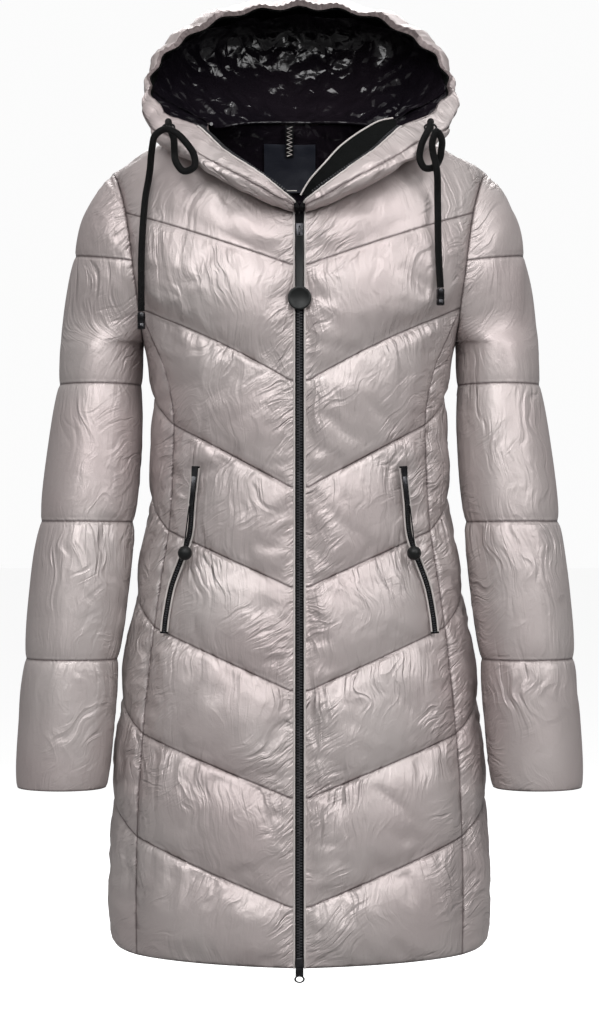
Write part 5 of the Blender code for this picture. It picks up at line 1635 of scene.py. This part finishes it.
PANELS = {
    "front_right": (front_panel(RIGHT, 1), 1.3),
    "front_left": (front_panel(flip(RIGHT), -1), 2.6),
    "side_right": (side_panel(SIDE), 3.9),
    "side_left": (side_panel(flip(SIDE)), 4.4),
    "back": (back_panel(BACK), 5.2),
    "sleeve_right": (sleeve_panel(SLEEVE_GRID), 6.1),
    "sleeve_left": (sleeve_panel(flip(SLEEVE_GRID)), 7.7),
    "hood": (hood_panel(HOOD_GRID), 8.5),
}
for name, (panel, seed) in PANELS.items():
    outer = swelled(name, panel, seed, slack=0.018, pressure=3.0, frames=14, cap=0.0025)
    tube = (lambda i, p=panel: p.row_at[i] <= p.tube_key + 1e-9) if name.startswith("sleeve") else (lambda i: False)
    panel.shaped = outer
    obj = closed_panel(name + "_cloth", panel, outer, tube=tube)
    obj.data.materials.append(SHELL)
    obj.data.materials.append(LINING_BLACK)
    sewn = name if not name.startswith("front") else tuple(
        f"front{piece_of}_{name[6:]}" for piece_of in ("_hem", "", "_chest"))
    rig.padded(finished(obj, "shell", sewn), fill=0.6)


for hand, cord in CORD_PIECES.items():
    cord.data.materials.append(CORD)
    CORD_TIPS[hand].data.materials.append(METAL)


# ---- small trim ----
def tree_of(obj):
    place = obj.matrix_world
    return BVHTree.FromPolygons([place @ v.co for v in obj.data.vertices],
                                [tuple(f.vertices) for f in obj.data.polygons])


def front_y(tree, x, z, reach=0.0):
    """How far forward a surface comes at a place, or near it within reach."""
    steps = (-reach, 0, reach) if reach else (0,)
    hits = [tree.ray_cast(Vector((x + dx, -0.4, z + dz)), Vector((0, 1, 0)))[0]
            for dx in steps for dz in steps]
    return min(h.y for h in hits if h)


def blocks(name, places, size, bevel=0.0002, segments=1, taper=1.0):
    """Small rounded blocks, one at each place: centre, direction along, direction up."""
    bm = bmesh.new()
    for centre, ahead, up in places:
        side = ahead.cross(up).normalized()
        turn = Matrix((side, ahead.normalized(), side.cross(ahead).normalized())).transposed()
        new = bmesh.ops.create_cube(bm, size=1)["verts"]
        for v in new:
            if v.co.y < 0:
                v.co.x *= taper
        bmesh.ops.transform(bm, verts=new, matrix=Matrix.Translation(centre) @ turn.to_4x4()
                            @ Matrix.Diagonal((*size, 1)))
    bmesh.ops.bevel(bm, geom=bm.edges[:], offset=bevel, segments=segments, profile=0.5,
                    affect="EDGES", material=-1)
    return meshed(name, bm)


UP, OUT = Vector((0, 0, 1)), Vector((0, -1, 0))
TAPE_TREE = tree_of(NODES["zip_tape_right"])
PITCH = 0.0030
TEETH_LOW, TEETH_HIGH = -0.852, -0.0985


def closed_teeth():
    for n in range(int((TEETH_HIGH - TEETH_LOW) / PITCH)):
        for side, shift in ((1, 0.0), (-1, 0.5)):
            z = TEETH_LOW + (n + shift) * PITCH
            yield Vector((side * 0.0012, front_y(TAPE_TREE, 0.002, z) - 0.0002, z)), UP, OUT


def collar_edge():
    """The tape's free edge round the collar, with the way its face looks."""
    out = []
    for col in range(2, ZIP_END * HOOD_SPLIT + 1):
        rim, below = HOOD_GRID[-1][col], HOOD_GRID[-2][col]
        lift = OUTWARD(rim).normalized()
        p = rim + (rim - below).normalized() * (TAPE_GAP + TAPE_W) + lift * TAPE_T * 0.6
        out.append((p, lift))
    return out


def open_teeth(sign):
    edge = collar_edge()
    keys = along([p for p, _ in edge])
    table = [(k, *p, *lift) for k, (p, lift) in zip(keys, edge)]
    for n in range(int(keys[-1] / PITCH)):
        here, ahead = hermite(table, n * PITCH), hermite(table, (n + 0.5) * PITCH)
        p, q, lift = Vector(here[:3]), Vector(ahead[:3]), Vector(here[3:])
        way = (q - p).normalized()
        lift = (lift - way * lift.dot(way)).normalized()
        if sign < 0:
            p, way, lift = mirrored(p), mirrored(way), mirrored(lift)
        yield p, way, lift


for hand, sign in (("right", 1), ("left", -1)):
    grid = [[Vector((sign * x, row[0].y + 0.0004, row[0].z)) for x in (0.0002, 0.0075)]
            for row in RIGHT[:TOP_ROW - 1:2]]
    bm = grid_mesh(grid)
    new = bmesh.ops.extrude_face_region(bm, geom=bm.faces[:])["geom"]
    bmesh.ops.translate(bm, vec=(0, 0.0006, 0), verts=[v for v in new if isinstance(v, bmesh.types.BMVert)])
    trim(meshed("zip_tape_back_" + hand, bm), TAPE, "black_tape")
trim(blocks("front_zip_teeth", list(closed_teeth()), (0.0036, 0.0017, 0.0012)), TEETH, "black_tape")
for hand, sign in (("right", 1), ("left", -1)):
    trim(blocks("collar_zip_teeth_" + hand, list(open_teeth(sign)), (0.0026, 0.0016, 0.0022)),
         TEETH, "black_tape")

WELT_R = 0.0011
for hand, sign in (("right", 1), ("left", -1)):
    front, hood = PANELS["front_" + hand][0], PANELS["hood"][0]
    end_key = hood.col_keys[ZIP_END * HOOD_SPLIT] if sign > 0 else hood.col_keys[-1 - ZIP_END * HOOD_SPLIT]
    route = [front.shaped[i][0] + Vector((sign * WELT_R, 0, 0)) for i in range(0, front.rows, 2)]
    rim = [j for j in range(hood.cols)
           if (hood.col_at[j] <= end_key if sign > 0 else hood.col_at[j] >= end_key)]
    for j in (rim if sign > 0 else reversed(rim)):
        p, below = hood.shaped[-1][j], hood.shaped[-3][j]
        route.append(p - (p - below).normalized() * WELT_R * 0.6)
    trim(round_tube("zip_welt_" + hand, smooth_route(route, 0.004), WELT_R, 10), PIPING, "shell")

# The main slider, its bridge and its pull.
top = front_y(TAPE_TREE, ZIP_HALF / 2, SLIDER_Z + 0.0085, 0.0015)
foot = front_y(TAPE_TREE, ZIP_HALF / 2, SLIDER_Z - 0.0070, 0.0015)
lean = Vector((0, top - foot, 0.020)).normalized()
outward = Vector((0, -lean.z, lean.y))
middle = Vector((0, (top + foot) / 2 - SLIDER_D / 2 - SLIDER_GAP, SLIDER_Z))
trim(blocks("slider_body", [(middle, lean, outward)], (0.0085, 0.020, SLIDER_D * 0.9), 0.0008, 3, 0.72),
     METAL, "dark_metal", "zip_slider")
arch = [middle + lean * (0.0062 * math.cos(a)) + outward * (SLIDER_D * 0.4 + 0.0021 * math.sin(a))
        for a in (math.radians(d) for d in range(0, 181, 20))]
trim(round_tube("slider_bridge", arch, 0.0010, 12), METAL, "dark_metal")
pull_place = Matrix.Translation(PULL_HINGE) @ Matrix.Rotation(math.pi / 2 - PULL_LEAN, 4, "X")
strap_end = PULL_DROP - PULL_DISC / 2 + 0.0015
bm = bmesh.new()
bmesh.ops.create_cube(bm, size=1, matrix=Matrix.Translation((0, -strap_end / 2, 0))
                      @ Matrix.Diagonal((PULL_STRAP, strap_end, PULL_T * 0.8, 1)))
bmesh.ops.bevel(bm, geom=bm.edges[:], offset=0.0004, segments=2, profile=0.5, affect="EDGES", material=-1)
broad = [f for f in bm.faces if abs(f.normal.z) > 0.99]
bmesh.ops.inset_individual(bm, faces=broad, thickness=0.0010, depth=-0.0003)
bmesh.ops.transform(bm, matrix=pull_place, verts=bm.verts[:])
trim(meshed("pull_strap", bm), MOULDED, "dark_trim", "zip_pull", "front_pull")
half = PULL_DISC / 2
DISC = ((0, -0.0007), (0.74, -0.0007), (0.78, -0.0011), (0.92, -0.00115), (0.98, -0.0008), (1, -0.0002))
face = [(r * half, h) for r, h in DISC]
trim(turned("pull_disc", face + [(r, -h) for r, h in reversed(face)],
            pull_place @ Matrix.Translation((0, -PULL_DROP, 0)), 64), MOULDED, "dark_trim", body="front_pull")
low_y = front_y(TAPE_TREE, ZIP_HALF / 2, LOW_SLIDER_Z, 0.0015) - SLIDER_D / 2 - LAY_GAP
trim(blocks("low_slider_body", [(Vector((0, low_y, LOW_SLIDER_Z)), -UP, OUT)],
            (0.0085, 0.013, SLIDER_D * 0.9), 0.0008, 3, 0.75), METAL, "dark_metal", "zip_slider_low")
hem_hinge = Vector(RING_HINGE)
trim(blocks("low_pull_tab", [(hem_hinge - UP * 0.0042, UP, OUT)], (0.0084, 0.0085, 0.0016), 0.0005, 2, 1.0),
     DARK_METAL, "dark_metal", body="hem_pull")
ring_place = (Matrix.Translation(hem_hinge - UP * 0.0112) @ Matrix.Rotation(math.pi / 2, 4, "X")
              @ Matrix.Diagonal((1, 0.72, 1, 1)))
trim(round_ring("low_pull_ring", 0.0046, 0.0010, ring_place), DARK_METAL, "dark_metal",
     "zip_ring_low", "hem_pull")
for hand, points, eyelet, facing in CORDS:
    trim(round_ring("cord_eyelet_" + hand, EYELET_R, 0.0011,
                    facing_place(Vector(eyelet) + Vector(facing) * 0.0024, facing)),
         METAL, "dark_metal", "eyelet_" + hand)

# Pocket zips: welts and teeth on the tape, and the parts of each hanging pull.
for hand, sign in (("right", 1), ("left", -1)):
    tree, table = tree_of(NODES["pocket_zip_" + hand]), POCKET[::-1]
    low, high = table[0][0] + 0.002, table[-1][0] - 0.002
    middle, sides = [], ([], [])
    for i in range(72):
        z = mix(low, high, i / 71)
        x = hermite(table, z)[0]
        slope = (hermite(table, min(z + 0.004, high))[0] - hermite(table, max(z - 0.004, low))[0]) / 0.008
        across = Vector((1, 0, -slope)).normalized() * (POCKET_W / 2 - 0.0007)
        y = front_y(tree, sign * x, z)
        middle.append(Vector((sign * x, y - 0.0001, z)))
        for line, k in zip(sides, (-1, 1)):
            line.append(Vector((sign * (x + across.x * k), y + 0.0001, z + across.z * k)))
    for n, line in enumerate(sides):
        trim(round_tube(f"pocket_welt_{hand}_{n + 1}", line, 0.0010, 10), PIPING, "shell")
    teeth = [(p, q - p, OUT) for p, q in zip(middle, middle[1:])]
    trim(blocks("pocket_teeth_" + hand, teeth, (0.0026, 0.0015, 0.0009)), TEETH, "black_tape")
    hinge = Vector((sign * POCKET_HINGE[0], *POCKET_HINGE[1:]))
    lean = Vector((sign * POCKET_LEAN, -0.03, -1)).normalized()
    forward = (OUT - lean * OUT.dot(lean)).normalized()
    tab = blocks("pocket_tab_piece_" + hand, [(hinge + lean * 0.0153, -lean, forward)],
                 (0.005, 0.030, 0.0016), 0.0004, 2, 0.8)
    trim(tab, METAL, "dark_metal", "pocket_tab_" + hand, "pocket_pull_" + hand)
    bm = bmesh.new()
    bmesh.ops.create_uvsphere(bm, u_segments=32, v_segments=20, radius=BALL_R)
    bmesh.ops.transform(bm, verts=bm.verts[:], matrix=facing_place(hinge + lean * POCKET_DROP, lean))
    trim(meshed("pocket_ball_piece_" + hand, bm, 80), MOULDED, "dark_trim", "pocket_ball_" + hand,
         "pocket_pull_" + hand)


# ---- linings, facing, label and flap: thin crumpled cloth ----
def crumple(p, scale, seed):
    """Flat facets that meet in sharp ridges, from 0 to about 1."""
    q = p * scale + noise.noise_vector(p * scale * 0.7 + Vector((seed, 0, 0))) * 0.6
    near, second = noise.voronoi(q, distance_metric="DISTANCE")[0][:2]
    return 0.65 * (second - near) + 0.5 * abs(noise.noise(q * 1.7 + Vector((0, seed, 0))))


def cut_of(points):
    """The rectangle that a piece is cut from, and the piece's own area."""
    bm = grid_mesh(points)
    area = sum(f.calc_area() for f in bm.faces)
    bm.free()
    wide = max(along(row)[-1] for row in points)
    high = max(along(column)[-1] for column in zip(*points))
    return {"flat": (wide, high), "area": min(area, wide * high)}


def facing_ways(grid):
    """The directions that a sheet's front looks in, point by point."""
    bm = grid_mesh(grid)
    bm.normal_update()
    ways = [v.normal.copy() for v in bm.verts]
    bm.free()
    turn = 1 if sum(w.y for w in ways) < 0 else -1
    cols = len(grid[0])
    return [[ways[i * cols + j] * turn for j in range(cols)] for i in range(len(grid))]


def thin_sheet(name, grid, ways, offset, thick, depth, scale, seed, spacing=0.0034, ripple=0.0, low=0.0):
    """A thin closed cloth behind a grid of points, crumpled away from it by up to depth, more in its low rows."""
    row_keys = along([row[len(row) // 2] for row in grid])
    col_keys = along(grid[len(grid) // 2])
    row_at, col_at = evenly(row_keys, spacing), evenly(col_keys, spacing)
    points = refined(grid, row_keys, col_keys, row_at, col_at)
    ways = refined(ways, row_keys, col_keys, row_at, col_at)
    outer, inner = [], []
    for i, (row, way_row) in enumerate(zip(points, ways)):
        outer.append([])
        inner.append([])
        for j, (p, way) in enumerate(zip(row, way_row)):
            way = way.normalized()
            edge = min(row_at[i], row_at[-1] - row_at[i], col_at[j], col_at[-1] - col_at[j])
            fold = crumple(p, scale, seed) * depth * mix(0.25, 1, ease(edge / 0.015))
            fold *= 1 + low * (1 - 2 * row_at[i] / row_at[-1])
            fold += ripple * (1 + math.sin(col_at[j] * 560 + 3 * noise.noise(p * 30)))
            outer[-1].append(p - way * (offset + fold))
            inner[-1].append(p - way * (offset + fold + thick))
    bm = grid_mesh(outer)
    place = bm.verts.layers.int.new("place")
    for n, v in enumerate(bm.verts):
        v[place] = n
    flat = [p for row in inner for p in row]
    for item in bmesh.ops.extrude_face_region(bm, geom=bm.faces[:])["geom"]:
        if isinstance(item, bmesh.types.BMVert):
            item.co = flat[item[place]]
    obj = meshed(name, bm, 50)
    obj.data.attributes.remove(obj.data.attributes["place"])
    return obj, cut_of(points)


LABEL_NAVY = surface("Dark navy woven label", (0.010, 0.012, 0.020), (0.007, 0.008, 0.014), (0.45, 0.60),
                     bumps=((weave(5200), 0.35, 0.0002), (creases(40, 1.0), 0.5, 0.0010)),
                     Specular_IOR_Level=0.3)
inside = [r[LINING_IN:-LINING_IN] for r in HOOD_GRID[:FACING_ROW + 1]]
yoke = [r[YOKE_IN:-YOKE_IN] for r in BACK[YOKE_ROW:]]
LININGS = {}
for name, node, grid, mat, depth, scale, ripple, low in (
        ("hood_lining_cloth", "hood_lining", inside, LINING_BLACK, 0.0088, 26, 0.0, 0.8),
        ("hood_facing_cloth", "hood_facing", HOOD_GRID[FACING_ROW:], FACING_BLACK, 0.0012, 40, 0.0006, 0.0),
        ("neck_lining_cloth", "neck_lining", yoke, LINING_BLACK, 0.0038, 26, 0.0, 0.0)):
    obj, cut = thin_sheet(name, grid, [[OUTWARD(p) for p in row] for row in grid], LAY_GAP, 0.0008,
                          depth, scale, 3.7, ripple=ripple, low=low)
    LININGS[node] = trim(obj, mat, "lining", node)
    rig.sheet(obj, held="stretched", **cut)
seam = [p - OUTWARD(p) * 0.0030 for p in BACK[-1][SHOULDER_STEPS:-SHOULDER_STEPS]]
trim(round_tube("neck_seam_fold", smooth_route(seam, 0.004), 0.0019, 12), LINING_BLACK, "lining")

# The wind flap behind the zip edge, with its piping.
ends = range(FLAP_START, FLAP_START + len(FLAP) + 1)
sewn_edge = [HOOD_GRID[-1][c] - OUTWARD(HOOD_GRID[-1][c]) * FLAP_IN for c in ends]
free_edge = [Vector(p) for p in FLAP] + [Vector((0.1010, -0.0680, 0.0410))]
grid = [[a.lerp(b, i / 3) for a, b in zip(sewn_edge, free_edge)] for i in range(4)]
obj, cut = thin_sheet("wind_flap_cloth", grid, facing_ways(grid), 0.0, FLAP_T, 0.0010, 30, 5.1, 0.0025)
trim(obj, FACING_BLACK, "lining", "wind_flap")
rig.sheet(obj, held="stretched", **cut)
route = [b + (b - a).normalized() * 0.0012 for a, b in zip(sewn_edge, free_edge)]
trim(round_tube("flap_piping_cord", smooth_route(route, 0.003), 0.0010, 10), PIPING, "shell", "flap_piping")


def laid_patch(name, tree, xs, zs, cols, rows, off, thick, bow=0.0):
    """A small cloth laid on the inside of the back, bowed out between its ends."""
    grid = [[Vector((mix(*xs, j / cols), 0, mix(*zs, i / rows))) for j in range(cols + 1)]
            for i in range(rows + 1)]
    depths = [[front_y(tree, p.x, p.z, 0.004) for p in row] for row in grid]
    for _ in range(3):
        depths = [[sum(depths[min(max(i + di, 0), rows)][min(max(j + dj, 0), cols)]
                       for di in (-1, 0, 1) for dj in (-1, 0, 1)) / 9 for j in range(cols + 1)]
                  for i in range(rows + 1)]
    for i, row in enumerate(grid):
        for j, p in enumerate(row):
            p.y = depths[i][j] - off - bow * math.sin(math.pi * i / rows)
    bm = grid_mesh(grid)
    new = bmesh.ops.extrude_face_region(bm, geom=bm.faces[:])["geom"]
    bmesh.ops.translate(bm, vec=(0, -thick, 0), verts=[v for v in new if isinstance(v, bmesh.types.BMVert)])
    return meshed(name, bm, 50), grid


neck_tree = tree_of(LININGS["neck_lining"])
obj, grid = laid_patch("label_cloth", neck_tree, LABEL_X, LABEL_Z, 24, 22, 0.0006, LABEL_T)
trim(obj, LABEL_NAVY, "lining", "label")
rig.sheet(obj, held="stretched", **cut_of(grid))
label_tree = tree_of(obj)
tack = Vector((-0.0105, front_y(label_tree, -0.0105, -0.0165) - 0.0003, -0.0165))
trim(blocks("label_tack", [(tack, UP, OUT)], (0.015, 0.0010, 0.0006)), THREAD, "shell")
obj, grid = laid_patch("hanging_loop_tape", neck_tree, LOOP_X, LOOP_Z, 8, 24, 0.0016 + LABEL_T, 0.001, 0.003)
trim(obj, TAPE, "black_tape", "hanging_loop")
loop_tree = tree_of(obj)
zigzag = []
for n in range(16):
    x, z = sum(LOOP_X) / 2 + (0.0028 if n % 2 else -0.0028), LOOP_Z[0] + 0.0010 + n * 0.0021
    zigzag.append(Vector((x, front_y(loop_tree, x, z) - 0.0004, z)))
trim(round_tube("loop_zigzag", zigzag, 0.00055, 6), THREAD, "shell")

# ---- carried-over nodes get their finishes ----
FINISH = {"zip_tape_left": TAPE, "zip_tape_right": TAPE, "pocket_zip_left": TAPE,
          "pocket_zip_right": TAPE, "pocket_slider_left": METAL, "pocket_slider_right": METAL,
          "pocket_cord_left": CORD, "pocket_cord_right": CORD}
for name, mat in FINISH.items():
    node = NODES[name]
    node.data.materials.clear()
    node.data.materials.append(mat)


# ---- floor and light ----
def plane(name, size, place, turn=(0, 0, 0)):
    bm = bmesh.new()
    bmesh.ops.create_grid(bm, x_segments=1, y_segments=1, size=size / 2)
    mesh = bpy.data.meshes.new(name)
    bm.to_mesh(mesh)
    bm.free()
    obj = piece(name, mesh)
    obj.location, obj.rotation_euler = place, turn
    return obj


floor = plane("floor", 60, (0, 0, -1.06))
floor_mat = bpy.data.materials.new("Pale floor")
floor_mat.use_nodes = True
painted = floor_mat.node_tree.nodes["Principled BSDF"]
painted.inputs["Base Color"].default_value = (0.9, 0.9, 0.9, 1)
painted.inputs["Roughness"].default_value = 0.9
painted.inputs["Emission Color"].default_value = (1, 1, 1, 1)
lit = floor_mat.node_tree.nodes.new("ShaderNodeMath")
lit.operation = "MULTIPLY"
lit.inputs[1].default_value = 0.55
looked_at = floor_mat.node_tree.nodes.new("ShaderNodeLightPath").outputs["Is Camera Ray"]
floor_mat.node_tree.links.new(looked_at, lit.inputs[0])
floor_mat.node_tree.links.new(lit.outputs[0], painted.inputs["Emission Strength"])
shade = floor_mat.node_tree.nodes.new("ShaderNodeMix")
shade.data_type = "RGBA"
shade.inputs[6].default_value, shade.inputs[7].default_value = (0.3, 0.3, 0.3, 1), (0.9, 0.9, 0.9, 1)
floor_mat.node_tree.links.new(looked_at, shade.inputs["Factor"])
floor_mat.node_tree.links.new(shade.outputs[2], painted.inputs["Base Color"])
floor.data.materials.append(floor_mat)
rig.stage(floor)


def soft_light(name, place, aim, size, power):
    light = bpy.data.lights.new(name, "AREA")
    light.shape, light.size, light.size_y, light.energy = "RECTANGLE", *size, power
    obj = bpy.data.objects.new(name, light)
    bpy.context.scene.collection.objects.link(obj)
    obj.location = place
    obj.rotation_euler = (Vector(aim) - Vector(place)).to_track_quat("-Z", "Y").to_euler()
    return obj


soft_light("key_light", (-0.65, -2.5, 1.35), (0, 0, -0.40), (1.7, 1.5), 51)
soft_light("side_light", (1.7, -1.9, 1.0), (0, 0, -0.40), (1.3, 1.5), 30)
soft_light("top_light", (0, -0.5, 1.9), (0, 0, -0.35), (1.4, 0.9), 5)
soft_light("rear_light", (0, 2.3, 1.5), (0, 0, -0.35), (1.8, 1.2), 48)
soft_light("hood_light", (0.35, -2.6, 0.55), (0, 0.05, 0.06), (0.30, 0.30), 3)
soft_light("glint_light", (0.15, -1.15, 1.60), (0, 0.06, 0.07), (0.26, 0.26), 7)
world = bpy.data.worlds.new("studio")
bpy.context.scene.world = world
world.use_nodes = True
sky = world.node_tree
backdrop = sky.nodes["Background"]
backdrop.inputs["Color"].default_value = (1, 1, 1, 1)
way = sky.nodes.new("ShaderNodeSeparateXYZ")
sky.links.new(sky.nodes.new("ShaderNodeTexCoord").outputs["Generated"], way.inputs[0])
rise = sky.nodes.new("ShaderNodeMapRange")
sky.links.new(way.outputs["Z"], rise.inputs["Value"])
for label, value in (("From Min", -0.2), ("From Max", 0.8), ("To Min", 0.14), ("To Max", 0.50)):
    rise.inputs[label].default_value = value
strength = sky.nodes.new("ShaderNodeMapRange")
sky.links.new(sky.nodes.new("ShaderNodeLightPath").outputs["Is Camera Ray"], strength.inputs["Value"])
sky.links.new(rise.outputs[0], strength.inputs["To Min"])
strength.inputs["To Max"].default_value = 0.97
sky.links.new(strength.outputs[0], backdrop.inputs["Strength"])
bpy.context.scene.view_settings.view_transform = "Standard"

new_box = [list(corner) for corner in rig.bounds()]
with open("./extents.json", "w") as out:
    json.dump({"cad": CAD_BOX, "visual": new_box}, out)
